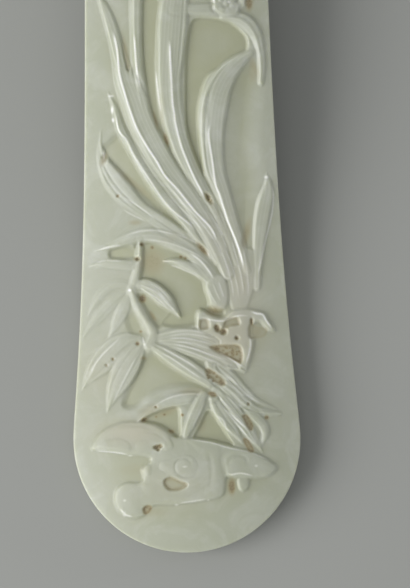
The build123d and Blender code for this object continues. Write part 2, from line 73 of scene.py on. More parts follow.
def underside():
    """Dense points of the underside's middle line: y, z, slope."""
    turn = 2 * math.atan(2 * ARCH_RISE / ARCH_SPAN)
    total = ARCH_SPAN / 2 / math.sin(turn)
    runs = [
        (None, TAIL_R + REST_END), (FOOT_SHARE * total, turn), ((1 - FOOT_SHARE) * total, -2 * turn),
        (FOOT_SHARE * total, turn), (NECK_BEND, TILT), (None, TONGUE),
    ]
    y, z, slope = -TAIL_R, 0.0, 0.0
    rows = [(y, z, slope)]
    for radius, amount in runs:
        length = amount if radius is None else abs(amount) * radius
        count = max(2, int(length / 0.5))
        bend = 0.0 if radius is None else amount / count
        for _ in range(count):
            y += length / count * math.cos(slope + bend / 2)
            z += length / count * math.sin(slope + bend / 2)
            slope += bend
            rows.append((y, z, slope))
    return np.array(rows)


under = underside()
over_y = under[:, 0] - THICK * np.sin(under[:, 2])
over_z = under[:, 1] + THICK * np.cos(under[:, 2])
ROOT = Vector((0, under[-1, 0] - TONGUE * math.cos(TILT), under[-1, 1] - TONGUE * math.sin(TILT)))


def top_z(x, y):
    """Height of the plain face."""
    reach = np.hypot(x, np.minimum(y, 0))
    return np.interp(y, over_y, over_z) - CROWN * (reach / TAIL_R) ** 2


def foot_z(y):
    """Height of the underside."""
    return np.interp(y, under[:, 0], under[:, 1])


def half_width(y):
    """Half of the shaft's width, up from the tail's centre."""
    y = np.maximum(np.asarray(y, dtype=float), 0)
    rise = np.clip(1 - (ROOT.y - y) / NECK_LENGTH, 0, 1)
    extra = (TAIL_R - WAIST) * np.exp(-(y**2) / (y + EASE) / NARROWING)
    return WAIST + extra + (NECK - WAIST) * rise * rise * (3 - 2 * rise)


# ------------------------------------------------------------------ helpers for carved heights
STREAK_WIDTH, STREAK_HEIGHT, STREAK_SHINE = 1.05, 0.025, 0.13   # the fine lines along a leaf, whose shine is a painted highlight
SHINE_WIDTH = 0.27                                              # of the painted highlight along a raised line, where the stone is also less rough


def smooth(a, b, v):
    """Goes from 0 at a to 1 at b, level at both ends."""
    t = np.clip((v - a) / (b - a), 0, 1)
    return t * t * (3 - 2 * t)


def curve(points, step=0.3, closed=False):
    """Dense smooth line through the points; every column is carried along."""
    p = np.array(points, dtype=float)
    p = np.vstack([p[-1], p, p[:2]]) if closed else np.vstack([2 * p[0] - p[1], p, 2 * p[-1] - p[-2]])
    rows = []
    for a, b, c, d in zip(p[:-3], p[1:-2], p[2:-1], p[3:]):
        count = max(2, int(np.hypot(*(c - b)[:2]) / step))
        t = (np.arange(count) / count)[:, None]
        bend = (2 * a - 5 * b + 4 * c - d) * t**2 + (3 * b - a - 3 * c + d) * t**3
        rows.append(0.5 * (2 * b + (c - a) * t + bend))
    if not closed:
        rows.append(p[-2][None])
    return np.vstack(rows)


class Board:
    """A grid of heights above the plain face, one sheet for every group of forms."""

    def __init__(self, x0, x1, y0, y1, step=GRID):
        self.step, self.x0, self.y0 = step, x0, y0
        self.nx, self.ny = int((x1 - x0) / step) + 1, int((y1 - y0) / step) + 1
        self.x, self.y = np.meshgrid(x0 + step * np.arange(self.nx), y0 + step * np.arange(self.ny))
        self.ground = np.zeros_like(self.x)
        self.sheets = {}
        # Tones painted on the stone: dirt with painted shade, the stone's own tan stains, painted olive shade
        # in the recesses, and painted highlights on crests.
        self.dirt_and_shade = np.zeros_like(self.x)
        self.tan = np.zeros_like(self.x)
        self.olive_shade = np.zeros_like(self.x)
        self.crest = np.zeros_like(self.x)

    def sheet(self, name):
        """The sheet of this name, new if there is none."""
        if name not in self.sheets:
            self.sheets[name] = np.full_like(self.x, NO_FORM)
        return self.sheets[name]

    def window(self, x, y, pad):
        """The part of the grid that holds the points with a margin."""
        i0 = max(0, int((np.min(x) - pad - self.x0) / self.step))
        i1 = min(self.nx, int((np.max(x) + pad - self.x0) / self.step) + 2)
        j0 = max(0, int((np.min(y) - pad - self.y0) / self.step))
        j1 = min(self.ny, int((np.max(y) + pad - self.y0) / self.step) + 2)
        return slice(j0, j1), slice(i0, i1)

    def near(self, line, pad):
        """For the grid round a line: window, distance, side, index of the nearest point."""
        win = self.window(line[:, 0], line[:, 1], pad)
        x, y = self.x[win], self.y[win]
        best = np.full(x.shape, 1e9)
        index = np.zeros(x.shape, dtype=int)
        j0, i0 = win[0].start, win[1].start
        for k, (px, py) in enumerate(line[:, :2]):
            w = self.window([px], [py], pad)
            w = (slice(w[0].start - j0, w[0].stop - j0), slice(w[1].start - i0, w[1].stop - i0))
            d = (x[w] - px) ** 2 + (y[w] - py) ** 2
            closer = d < best[w]
            best[w] = np.where(closer, d, best[w])
            index[w] = np.where(closer, k, index[w])
        ahead = np.gradient(line[:, :2], axis=0)
        side = np.sign(ahead[index, 0] * (y - line[index, 1]) - ahead[index, 1] * (x - line[index, 0]))
        return win, np.sqrt(best), side, index

    def leaf(self, sheet, points, height, ridge=0.5, edge=0.9, groove=0.35, lean=0.0, veins=(), tip=0.02):
        """A blade through points (x, y, width): rounded edges, a crest along its middle, fine veins."""
        line = curve(points)
        half = np.maximum(line[:, 2], 0.3) / 2
        win, d, side, k = self.near(line, half.max() + 1.2)
        h = half[k]
        q, u = h - d, np.clip(d * side / h, -1, 1)
        full = RELIEF * height * (tip + (1 - tip) * np.sqrt(h / half.max()))
        crest = np.abs(u - lean) / np.where(u > lean, 1 - lean, 1 + lean)
        outer = (lean != 0) & (u * np.sign(lean) > abs(lean))
        fall = np.where(outer, 0.75 * full, RELIEF * ridge * np.minimum(1, h / 1.6))
        body = full - fall * (1 - (1 - np.clip(crest, 0, 1)) ** 1.6)
        for at, depth in veins:
            body -= 0.8 * depth * np.exp(-(((u - at) * h / 0.28) ** 2)) * smooth(0.5, 1.1, h)
        wave = 0.5 + 0.5 * np.cos(2 * math.pi * (u * h / STREAK_WIDTH + 0.2 * len(points)))
        streak = wave**2 * smooth(0.7, 1.6, h) * min(1, height / 2.2)
        body += STREAK_HEIGHT * streak
        self.lay(sheet, win, q, body, edge * np.minimum(1, h / 1.4 + 0.3), groove)
        # The streaks get a painted highlight.
        self.crest[win] = np.where(q > 0.2, STREAK_SHINE * streak, self.crest[win])

    def lay(self, sheet, win, q, body, edge, groove):
        """Puts a form on its sheet, with q the distance in from its edge, and cuts a groove round it."""
        ground = self.ground[win]
        s = smooth(-0.4 * edge, edge, q)
        z = ground + (body - ground) * s - 0.2 * (1 - s)
        z = np.where(q < -0.4 * edge, ground - 0.2 + (q + 0.4 * edge) * 1.6, z)
        z = np.where(q < -1.1, NO_FORM, z)
        if groove:
            cut = 0.7 * groove * np.exp(-(((q + 0.25) / 0.5) ** 2)) * (q < 0.3)
            for other in self.sheets.values():
                part = other[win]
                other[win] = np.where(part > ground + 0.3, part - cut, part)
        self.sheet(sheet)[win] = np.maximum(self.sheet(sheet)[win], z)

    def inside(self, outline):
        """For a closed outline: the grid's window round it and the distance in from its edge."""
        line = curve(outline, closed=True)
        win, d, _, _ = self.near(line, 16)
        x, y = self.x[win], self.y[win]
        within = np.zeros(x.shape, dtype=bool)
        for (ax, ay), (bx, by) in zip(line[:, :2], np.roll(line[:, :2], -1, axis=0)):
            if ay != by:
                within ^= ((ay > y) != (by > y)) & (x < (bx - ax) * (y - ay) / (by - ay) + ax)
        return win, np.where(within, d, -d)

    def blob(self, sheet, outline, height, edge, crown, groove):
        """A cushioned form inside a closed outline."""
        win, q = self.inside(outline)
        t = np.clip(q / edge, 0, 1)
        body = RELIEF * (height * (0.45 + 0.55 * np.sqrt(1 - (1 - t) ** 2)) + crown * smooth(0, 3 * edge, q))
        self.lay(sheet, win, q, body, min(0.8, edge), groove)

    def line(self, sheet, points, amount, width):
        """Raises a sharp crest with a painted highlight along it or, if amount is negative, cuts a soft line.
        Both thin out at their ends.
        """
        line = curve(points)
        win, d, _, k = self.near(line, 5 * width)
        ends = smooth(-0.5, min(12, len(line) / 4), np.minimum(k, len(line) - 1 - k).astype(float))
        bump = 0.5 * amount * ends * (np.exp(-1.6 * d / width) if amount > 0 else np.exp(-((d / width) ** 2)))
        if amount > 0:
            self.crest[win] = np.maximum(self.crest[win], amount * ends * np.exp(-((d / SHINE_WIDTH) ** 2)))
        part = self.sheet(sheet)[win]
        self.sheet(sheet)[win] = np.where(part > self.ground[win] + 0.4, part + bump, part)

    def sink(self, outline, depth, edge, olive_shade):
        """Lowers the ground inside a closed outline and paints an olive shade into it, partly dirt."""
        win, q = self.inside(outline)
        self.ground[win] = np.minimum(self.ground[win], -depth * smooth(-edge / 2, edge, q))
        self.olive_shade[win] = np.maximum(self.olive_shade[win], olive_shade * smooth(-0.6, max(1.2, 2 * edge), q))

    def pit(self, x, y, rx, ry, depth, dirt_and_shade, turn):
        """A drilled or worn pit, down to just over the ground, with dirt and painted shade in it."""
        win = self.window([x], [y], 2.2 * max(rx, ry))
        c, s = math.cos(math.radians(turn)), math.sin(math.radians(turn))
        dx, dy = self.x[win] - x, self.y[win] - y
        r = np.hypot((dx * c + dy * s) / rx, (dy * c - dx * s) / ry)
        hole = np.exp(-(r**4))
        for sheet in self.sheets.values():
            part = sheet[win]
            floor = self.ground[win] + 0.15
            sheet[win] = np.where(part > floor, np.maximum(part - depth * hole, floor), part)
        self.dirt_and_shade[win] = np.maximum(self.dirt_and_shade[win], dirt_and_shade * np.exp(-((r / 1.15) ** 3)))

    def under(self, lower, upper, gap):
        """Keeps one sheet below another wherever they cross."""
        low, high = self.sheets[lower], self.sheets[upper]
        over = high > self.ground + 0.35
        self.sheets[lower] = np.where(over, np.minimum(low, high - gap), low)

    def hole(self, outline, dirt_and_shade):
        """Cuts through every form inside a closed outline, down to just over the ground."""
        win, q = self.inside(outline)
        clear = smooth(-0.5, 0.4, q)
        for sheet in self.sheets.values():
            part = sheet[win]
            floor = self.ground[win] + 0.1
            sheet[win] = np.where(part > floor, part + (floor - part) * clear, part)
        # Dirt and painted shade in the hole, darkest along its edge.
        soil_and_shade = dirt_and_shade * smooth(-0.6, 0.3, q) * (0.35 + 0.65 * np.exp(-((q / 0.8) ** 2)))
        self.dirt_and_shade[win] = np.maximum(self.dirt_and_shade[win], soil_and_shade)

    def spot(self, x, y, rx, ry):
        """A soft round spot, 1 at its middle."""
        return np.exp(-(((self.x - x) / rx) ** 2) - ((self.y - y) / ry) ** 2)

    def top(self):
        """The ground with every sheet on it."""
        total = self.ground.copy()
        for sheet in self.sheets.values():
            total = np.maximum(total, sheet)
        return total

    def blur(self, a, radius):
        """The grid a, softened by a bell of this radius."""
        fx, fy = np.fft.rfftfreq(self.nx, self.step), np.fft.fftfreq(self.ny, self.step)
        soft = np.exp(-2 * (math.pi * radius) ** 2 * (fx[None] ** 2 + fy[:, None] ** 2))
        return np.fft.irfft2(np.fft.rfft2(a) * soft, s=a.shape)

    def sample(self, a, x, y):
        """Values of the grid a at any places."""
        i = np.clip((x - self.x0) / self.step, 0, self.nx - 1.001)
        j = np.clip((y - self.y0) / self.step, 0, self.ny - 1.001)
        i0, j0 = i.astype(int), j.astype(int)
        fi, fj = i - i0, j - j0
        return (a[j0, i0] * (1 - fi) * (1 - fj) + a[j0, i0 + 1] * fi * (1 - fj)
                + a[j0 + 1, i0] * (1 - fi) * fj + a[j0 + 1, i0 + 1] * fi * fj)


# ------------------------------------------------------------------ the shaft's carving, from the photograph
board = Board(x0=-35, x1=35, y0=-36, y1=218)
rng = np.random.default_rng(7)

# Ground let in round the forms: outline, depth, edge, and an olive tint that is painted shade, partly dirt.
recesses = [
    ([(2, 90), (1.8, 100), (2.2, 112), (3, 119), (4.2, 123.4), (6.4, 124.8), (13, 124.2), (17, 122.4),
      (20.5, 118.6), (20, 114.6), (15, 111), (9, 108), (6.4, 102), (5.4, 96), (6, 86), (7, 78), (8.6, 72),
      (7, 71.6), (5, 77), (3.6, 83)], 1.0, 0.5, 0.6),
    ([(16, 106), (19, 110.5), (22.6, 112), (24, 107), (23.4, 98), (22.6, 88), (23.6, 79), (22.6, 71),
      (20.4, 64), (19.8, 55), (18.4, 58), (16.6, 66), (14.6, 74), (13.8, 84), (14.6, 96)], 0.7, 4.5, 0.5),
    ([(-24, 86), (-21.4, 89), (-18, 91.4), (-15.6, 88), (-12, 82), (-8, 75.6), (-3, 69), (3, 62.6),
      (8, 56.6), (7.4, 55.2), (2, 60.4), (-4, 65.4), (-9, 69.6), (-15, 75.4), (-20, 81)], 0.6, 1.6, 0.3),
    ([(-10.8, 132), (-10.6, 118), (-10.2, 106), (-9, 100), (-7.6, 96), (-5.6, 91.6), (-3, 86.4),
      (-2.6, 87.6), (-4.8, 94), (-6, 101), (-6.4, 110), (-6, 118), (-4.6, 132)], 0.35, 0.7, 0.45),
    ([(-14.2, 58.6), (-9, 59), (-4, 57), (1, 55), (4, 51.6), (6, 48.6), (6.6, 45), (7.6, 40), (4, 34.6),
      (-3, 33.6), (-7, 35), (-3, 41), (-9, 46), (-14, 48.6), (-14, 53)], 0.9, 0.8, 0.5),
    ([(-13.6, 24), (-9, 26), (-4, 22.6), (2, 18.6), (7, 15.2), (2, 15.6), (-4, 15.6), (-10, 13.4),
      (-15, 9.6), (-19, 11), (-16, 19)], 0.8, 1.6, 0.4),
    ([(-13.4, 6), (-8, 9.8), (-2.6, 9.8), (-1.8, 5), (-2.6, 0.6), (-6, 3.2), (-9, 4.8)], 1.0, 0.6, 0.6),
    ([(6.2, 8.4), (3.8, 4), (2.2, 0), (8, -1.4), (14, -3), (11, 3), (8.4, 7)], 0.9, 0.6, 0.6),
    ([(-21, 57.6), (-15, 58), (-13, 55), (-16, 54), (-21.6, 54.6)], 0.7, 0.8, 0.4),
    ([(-13.8, 43.6), (-10.6, 43.6), (-6.6, 40.4), (-3, 37), (-7, 33.4), (-9.4, 35), (-12, 40)],
     0.7, 0.8, 0.45),
    ([(-17.6, 37), (-14.4, 38.6), (-12, 34), (-12.4, 31.6), (-16, 31.8)], 0.4, 1.5, 0.35),
    ([(6, 36.6), (6.4, 41.4), (9, 38.6), (12, 38.2), (11, 36.4)], 0.8, 0.6, 0.6),
]
for outline, depth, edge, olive_shade in recesses:
    board.sink(outline, depth, edge, olive_shade)

# Long leaves, lowest first: points (x, y, width), height, ridge, groove, veins (place, depth), lean of
# the crest to one side.
strap = [
    ([(22, 45, 3), (22.4, 52, 3.6), (23, 58, 4.4), (23.8, 64, 5.4), (25, 70, 5.6), (25.9, 74.5, 3.8),
      (25.5, 79, 0.7)], 2.2, 0.5, 0.3, (), -0.5),
    ([(8.5, 47, 3.4), (4.4, 50.4, 4), (0.6, 52.2, 3.6), (-2.6, 53.2, 2.2), (-5.6, 53.4, 0.5)],
     1.7, 0.4, 0.3, (), 0.0),
    ([(10, 47.5, 4), (7, 51.5, 4.6), (3, 55.8, 5), (-2, 59, 5.4), (-7, 60.9, 5), (-12, 61.2, 4.6),
      (-17, 60, 4), (-21.5, 58.4, 2.8), (-26.6, 56.6, 0.5)], 1.7, 0.3, 0.2, ((-0.4, 0.2),), 0.0),
    ([(4, 58.8, 4), (-3, 63, 5), (-8, 66.4, 4.8), (-12.5, 69.6, 5.2), (-17, 74, 7.2), (-20.4, 78.6, 6.8),
      (-22.9, 83.6, 4.2), (-23.8, 88.5, 2.2), (-23, 93.8, 0.5)], 1.5, 0.35, 0.2, ((0.1, 0.25), (0.5, 0.2)),
     -0.6),
    ([(10.5, 53, 3.4), (6.5, 58.5, 4), (2.5, 64, 4.6), (-1, 68, 4.8), (-4.3, 71.9, 5), (-7.5, 76.2, 5),
      (-10, 80.2, 4.8), (-12.4, 84.2, 4.4), (-14.6, 88, 4), (-16.8, 91.6, 3.6), (-18, 95, 3.2),
      (-19, 99, 2.4), (-21, 104, 0.5)], 2.3, 0.5, 0.35, (), 0.75),
    ([(19, 50, 4), (17, 57, 4.6), (15.3, 62, 5), (13.6, 68, 5.4), (11.9, 74.5, 5.6), (10.2, 80, 6.6),
      (9.5, 87, 7.4), (9.7, 93, 8), (10.5, 99, 8.6), (12, 104, 8), (14.6, 108.4, 6.6), (18.3, 112, 4.6),
      (22.4, 114.8, 2)], 2.5, 0.25, 0.2, ((0.55, 0.25),), 0.0),
    ([(15.5, 52, 3.5), (12.2, 61, 4.5), (8.8, 68.5, 5), (5.6, 75, 5.4), (3, 80.5, 5.8), (0.8, 86, 6.2),
      (-1, 92, 6.6), (-2.2, 99, 7), (-2.6, 107, 7.4), (-2, 115, 8.6), (-1.2, 124, 9.4), (0.2, 136, 8),
      (3.2, 149, 6), (7, 162, 3.2), (9.5, 170, 0.6)], 2.7, 0.5, 0.45, ((-0.62, 0.2),), 0.0),
    ([(-9, 94, 3), (-11, 102, 4.4), (-12, 110, 4.2), (-12.2, 119, 4), (-12, 130, 4.4), (-10.8, 143, 4.4),
      (-8.5, 156, 3), (-6, 166, 0.5)], 2.8, 0.4, 0.4, (), 0.3),
    ([(13.5, 49, 4.5), (10.5, 57, 5.5), (7, 64, 6), (2.5, 71, 6.6), (-1.5, 76.5, 7.2), (-5.5, 82.5, 7.8),
      (-9, 89, 8.2), (-11.7, 95, 8.4), (-13.6, 101, 8.4), (-15.7, 107, 7.2), (-17.4, 114, 5),
      (-19, 121, 4.4), (-21.2, 128, 3.4), (-24.6, 135.4, 0.6)], 3.0, 0.5, 0.45, (), 0.62),
]
# Bamboo leaves: the same without a lean.
bamboo = [
    ([(-13.2, 51.8, 2.2), (-15.5, 52.2, 3.4), (-20, 52.7, 3.6), (-24.5, 52.8, 2.4), (-28, 52.4, 0.5)],
     1.2, 0.3, 0.2, ()),
    ([(-15.5, 46.6, 2.2), (-20, 47, 3.4), (-24, 44.6, 3.4), (-26.8, 41, 2.6), (-29, 37, 0.5)],
     0.5, 0.2, 0.1, ((-0.4, 0.1),)),
    ([(-16, 45.4, 2.2), (-20.5, 42, 3.8), (-25, 37.6, 3.8), (-28.4, 33.6, 2.4), (-31, 30.2, 0.5)],
     0.6, 0.2, 0.1, ((0.4, 0.1),)),
    ([(-15.8, 44.2, 2.2), (-17.8, 40, 4.2), (-19.8, 36, 3.8), (-21.5, 32.8, 2.2), (-22.9, 30.2, 0.5)],
     0.9, 0.3, 0.15, ()),
    ([(-13.6, 30.4, 2.8), (-18, 29.4, 6.4), (-22, 26.4, 8), (-25.6, 22.8, 7), (-28.6, 19.2, 4),
      (-31, 15.4, 0.5)], 1.4, 0.3, 0.15, ((0.45, 0.12), (-0.5, 0.12))),
    ([(-12.6, 29, 3), (-15.6, 24.6, 6.6), (-18.4, 20.3, 7.6), (-20.6, 16.2, 6), (-22.3, 12.5, 3.4),
      (-23.6, 8.6, 0.5)], 1.8, 0.3, 0.15, ((0.5, 0.12), (-0.45, 0.12))),
    ([(-8.3, 30.4, 3), (-3, 31.1, 4.4), (2, 30.9, 4.8), (6, 29.8, 5), (9, 28.6, 4)],
     2.3, 0.2, 0.1, ((0.6, 0.2), (0.2, 0.25), (-0.25, 0.25))),
    ([(-7.5, 29, 3), (-2, 28.5, 4.8), (3, 27, 5.6), (7.6, 25, 4.8), (12.4, 22.7, 3.6), (18.4, 20.3, 1)],
     2.5, 0.2, 0.1, ((0.6, 0.25), (0.25, 0.25), (-0.15, 0.25), (-0.55, 0.2))),
    ([(-9.6, 28.2, 3), (-4.8, 25.2, 4.6), (0.9, 21.6, 5.2), (5.4, 18.3, 4.4), (8.4, 15.8, 2.8),
      (10.8, 14, 0.8)], 2.8, 0.3, 0.2, ((0.3, 0.15), (-0.5, 0.12))),
    ([(-14.5, 46.3, 2.2), (-11.5, 46.4, 4.2), (-8.5, 44.5, 5.2), (-5.5, 41.7, 4.8), (-3.2, 39.2, 2.8),
      (-1.2, 36.6, 0.6)], 2.4, 0.4, 0.4, ((0.5, 0.3), (0.05, 0.3), (-0.45, 0.3))),
    ([(10, 21.4, 2.6), (13.2, 18.4, 4.2), (16.5, 14.6, 4), (20, 11.4, 3), (24, 9.4, 2), (27, 8.4, 0.6)],
     2.0, 0.35, 0.3, ((0.35, 0.25), (-0.35, 0.25))),
    ([(9.4, 17.4, 2.4), (13.8, 14, 4.4), (17, 10.6, 4.4), (20.6, 8.2, 3.4), (24, 7.4, 2.6), (28, 7, 1.4)],
     2.4, 0.35, 0.4, ((0.4, 0.25), (-0.3, 0.25))),
    ([(17.6, 7.6, 2.2), (20.6, 6.2, 3.2), (23, 3.4, 3.2), (23.4, 0.6, 2.4), (21.4, -3, 0.9)],
     1.9, 0.4, 0.35, ()),
    ([(9, 14.4, 2.6), (12, 10.4, 4.6), (15, 6.6, 4.8), (18, 2.8, 4), (20.4, -0.8, 2.6), (22.4, -4.2, 0.6)],
     2.5, 0.35, 0.4, ((0.55, 0.3), (0.15, 0.35), (-0.35, 0.3))),
    ([(7.6, 13, 2.4), (9.4, 8.8, 3.6), (12, 4.8, 4), (14.6, 1.6, 2.8), (16.6, -1.4, 0.6)],
     2.3, 0.4, 0.35, ((0.2, 0.25),)),
    ([(8.6, 12.4, 2.4), (4, 12.6, 3.4), (0, 12.3, 4.2), (-4, 11.6, 4), (-8, 10.1, 3.2), (-12, 7.8, 2),
      (-15.6, 5, 0.5)], 1.9, 0.35, 0.35, ((0.4, 0.2), (-0.3, 0.2))),
    ([(5.2, 13.4, 2.8), (3.4, 9.5, 3.8), (1.5, 5.6, 3.6), (0, 2, 2.6), (-1, -1.2, 0.9)],
     2.4, 0.4, 0.4, ((0, 0.2),)),
]
# Bamboo stalks: points and height.
stalks = [
    ([(-12.6, 60, 2), (-13, 54.5, 2.8), (-13.9, 49.6, 3.4), (-15.4, 44.6, 4.2)], 1.3),
    ([(-15.6, 45, 2.6), (-13.8, 39.8, 3), (-11.4, 35.8, 3), (-9.4, 32, 3.6), (-10.4, 28.4, 4.6)], 1.9),
]
for points, height, ridge, groove, veins, lean in strap:
    board.leaf("strap_leaves", points, height, ridge, 1.1, groove, lean, veins)

# Warm tan stains in the stone: x, y, radii, amount.
stains = [
    (17.5, 46, 5, 8, 0.65), (12, 60, 8, 12, 0.35), (14, 30, 9, 8, 0.85), (-16, 2.5, 10, 4, 0.8),
    (-6, -14, 14, 7, 0.3), (-10, 34, 14, 22, 0.12), (-26, 20, 7, 9, 0.3),
]
for x, y, rx, ry, amount in stains:
    board.tan += amount * board.spot(x, y, rx, ry)

# The bound root of the leaves and the folded bud beside it.
board.blob("strap_leaves", [(14.4, 38), (18.6, 38), (20.9, 43), (22.8, 49), (23.4, 55), (19.6, 57),
                            (15.6, 55), (13, 47)], 1.1, 4.5, 0.2, 0.0)
board.blob("strap_leaves", [(12.4, 38.6), (13.8, 43), (12.4, 48.6), (8.8, 49), (6.4, 46.2), (7, 42.4),
                            (8.6, 39.6)], 2.0, 2.4, 0.2, 0.0)

# Rock of knotted branches.
rock_outline = [(3.4, 34.6), (3.6, 37.8), (5, 39), (8.4, 37.2), (11.6, 36.4), (14.4, 38.4), (19.4, 38.8),
                (23.8, 37.6), (25.6, 35), (27.4, 31.6), (24.6, 31.8), (22.4, 34.4), (20.4, 33), (20.9, 29),
                (20.4, 25.6), (18.2, 19.6), (14.6, 20.2), (11, 18.4), (7, 19.4), (5.6, 23.6), (4.2, 30)]
board.blob("rockwork", rock_outline, 2.2, 1.2, 0.2, 0.1)

for points, height, ridge, groove, veins in bamboo:
    board.leaf("bamboo", points, height, ridge, 0.7, groove, 0.0, veins)
for points, height in stalks:
    board.leaf("bamboo", points, height, 0.3, 1.2, 0.1, tip=1.0)
board.under("rockwork", "bamboo", 0.5)

# Fungus: broad lobed caps, scrolls and their trunk, all of one soft mass. Rows: outline, height, edge,
# crown, groove.
fungus = [
    ([(-28.6, -2.4), (-26, 2.8), (-20, 5.6), (-14, 5.9), (-8.6, 4.6), (-4, 1.4), (0, 0.9), (8, -0.4),
      (15, -2.4), (22, -4.9), (27, -8.6), (25, -11.7), (20, -12.5), (14.4, -12.2), (11.8, -12), (11, -16.4),
      (8.6, -18), (3, -19), (-4, -19.6), (-10, -19.8), (-13, -22.6), (-17, -23.6), (-21, -21.4),
      (-22.4, -17), (-20.6, -13.2), (-14, -11.9), (-14, -8.4), (-11.4, -5.6), (-17.4, -4.6), (-23, -3.6)],
     1.9, 3.0, 0.3, 0.0),
    ([(-13.6, -13.4), (-12.8, -17.6), (-13.8, -22), (-17, -23.3), (-20.6, -21.4), (-22.3, -17.2),
      (-21, -13.6), (-17.6, -12.2)], 2.2, 3.6, 0.3, 0.0),
    ([(-1, 0.6), (5, 0.2), (10.4, -1.4), (11.6, -6), (11.4, -12), (10.4, -16.8), (7.2, -18.2), (3.8, -17),
      (3.6, -13), (3.8, -8), (1, -3)], 2.3, 4.0, 0.3, 0.0),
    ([(14.8, -11.4), (18.4, -11.4), (18.4, -14.8), (16.6, -16.2), (15, -15.2)], 1.6, 1.4, 0.2, 0.1),
    ([(-28.8, -2.4), (-26.2, 2.6), (-20.4, 5.5), (-14.5, 5.8), (-9, 4.6), (-4.8, 1.8), (-4.4, -2),
      (-7.4, -4.6), (-12, -4.8), (-17.4, -4.5), (-23, -3.5)], 2.5, 3.6, 0.3, 0.0),
    ([(-27.4, -2), (-25.4, 0.6), (-21, 1.7), (-17.6, 0.8), (-16, -1.4), (-17.2, -3.6), (-22, -3.2)],
     2.9, 1.8, 0.1, 0.0),
    ([(-16.4, -0.8), (-14.6, 1.4), (-11, 1.2), (-10.4, -1.2), (-13, -3.4), (-16, -3.2)], 2.8, 2.4, 0, 0.0),
    ([(-8.4, -0.4), (-7, 2.4), (-4.4, 0.6), (-3.6, -2.4), (-6, -3.8), (-8, -2.8)], 2.7, 2.4, 0, 0.0),
    ([(-14.4, -12.6), (-10, -11.6), (-7.6, -13), (-8, -16.6), (-11.4, -18.2), (-14, -16.6)], 2.2, 3, 0, 0.0),
    ([(-7, -16), (-1, -15.4), (3, -16.4), (2.4, -18.6), (-4, -19.2), (-7.6, -18.6)], 2.2, 2.4, 0, 0.0),
    ([(-10, -9), (-10.6, -7), (-12.6, -7), (-13.5, -9), (-12.6, -11.2), (-10.6, -11)], 2.4, 2.4, 0.1, 0.0),
    ([(3.9, -8), (2.4, -4.8), (-1, -3.8), (-5, -4.8), (-8, -5.8), (-9, -8.4), (-6.4, -10.4), (-3, -11.2),
      (1.6, -11)], 2.7, 3.0, 0.2, 0.0),
    ([(10.9, -9), (10.4, -5.6), (12.6, -3.2), (16, -3), (20.6, -4.4), (24.6, -6.6), (26.8, -9),
      (24.8, -11.4), (20, -12.3), (14.6, -12.1), (11.6, -11.4)], 2.7, 2.6, 0.3, 0.1),
]
for outline, height, edge, crown, groove in fungus:
    board.blob("fungus", outline, height, edge, crown, groove)

# Blossom at the top right, with its stem and hanging petal.
board.leaf("blossom", [(-1, 127.4, 2.4), (4, 127.3, 3.8), (9, 127.2, 4.2), (14, 127, 4)], 1.6, 0.2, 1.0, 0.1)
board.leaf("blossom", [(14.5, 128.6, 2.2), (12, 130.6, 3.2), (10.4, 134, 2.6), (9.8, 138, 0.6)],
           2.6, 0.4, 0.6, 0.3)
board.leaf("blossom", [(16.4, 129.6, 2.4), (17.4, 134, 4), (17.4, 138.5, 2.8), (16.6, 142.5, 0.6)],
           2.9, 0.4, 0.6, 0.3)
board.leaf("blossom", [(18, 127.8, 2.6), (21.2, 130.6, 3.6), (23.4, 134.6, 2.6), (24, 138.6, 0.6)],
           2.6, 0.4, 0.6, 0.3)
board.leaf("blossom", [(13.5, 124.9, 2.4), (17.6, 124.6, 4), (20.8, 122.8, 4.8), (23.2, 119.4, 4),
                       (24.4, 114.6, 3), (24.7, 110, 2.8), (24.4, 105.4, 2.2)],
           2.8, 0.4, 0.8, 0.4, -0.2, ((0.3, 0.2),))
board.blob("blossom", [(10.6, 127.4), (11.2, 131), (13.6, 131.4), (16, 130.6), (18.8, 128.4), (18, 125.4),
                       (14, 124.8)], 3.0, 1.2, 0.2, 0.3)
knob_radius = 0.9
for x, y in ((11.2, 130), (12.9, 130.2), (14.6, 129), (16.4, 128.2), (13.4, 127.2)):
    turns = np.arange(0, 6.2, 1.05)
    knob = [(x + knob_radius * math.cos(a), y + knob_radius * math.sin(a)) for a in turns]
    board.blob("blossom", knob, 3.5, 0.8, 0, 0.2)

# Upper stalk with two buds and a second blossom, beyond the photograph.
board.leaf("upper_spray", [(-5, 131, 1.8), (-6.6, 146, 2), (-5.6, 161, 2), (-2.6, 176, 1.9),
                           (1.2, 189, 1.8), (4.6, 199, 1.6)], 1.8, 0.4, 0.7, 0.2)
board.blob("upper_spray", [(-6.8, 147.4), (-7, 151), (-9.4, 154), (-10.8, 152), (-9.6, 148.4)],
           2.2, 1.4, 0.2, 0.2)
board.blob("upper_spray", [(-5, 167.4), (-5.4, 171), (-8.2, 174), (-9.8, 171.8), (-8.4, 168.4)],
           2.2, 1.4, 0.2, 0.2)
for points in (
    [(4, 200.6, 2), (1, 203.4, 3.2), (-1.4, 207.6, 2.4), (-2, 211.6, 0.6)],
    [(5.4, 201.4, 2.2), (5.6, 206, 3.6), (5.8, 210.6, 2.6), (5.6, 214.6, 0.6)],
    [(6.6, 200.6, 2), (9.8, 203, 3.2), (12.2, 207, 2.4), (13, 211, 0.6)],
    [(5.6, 198.8, 2.2), (9.4, 196.6, 3.2), (11.8, 192.8, 2.4), (12.6, 189, 0.6)],
):
    board.leaf("upper_spray", points, 2.6, 0.5, 0.6, 0.3, 0.0, ((0.4, 0.15), (-0.4, 0.15)))

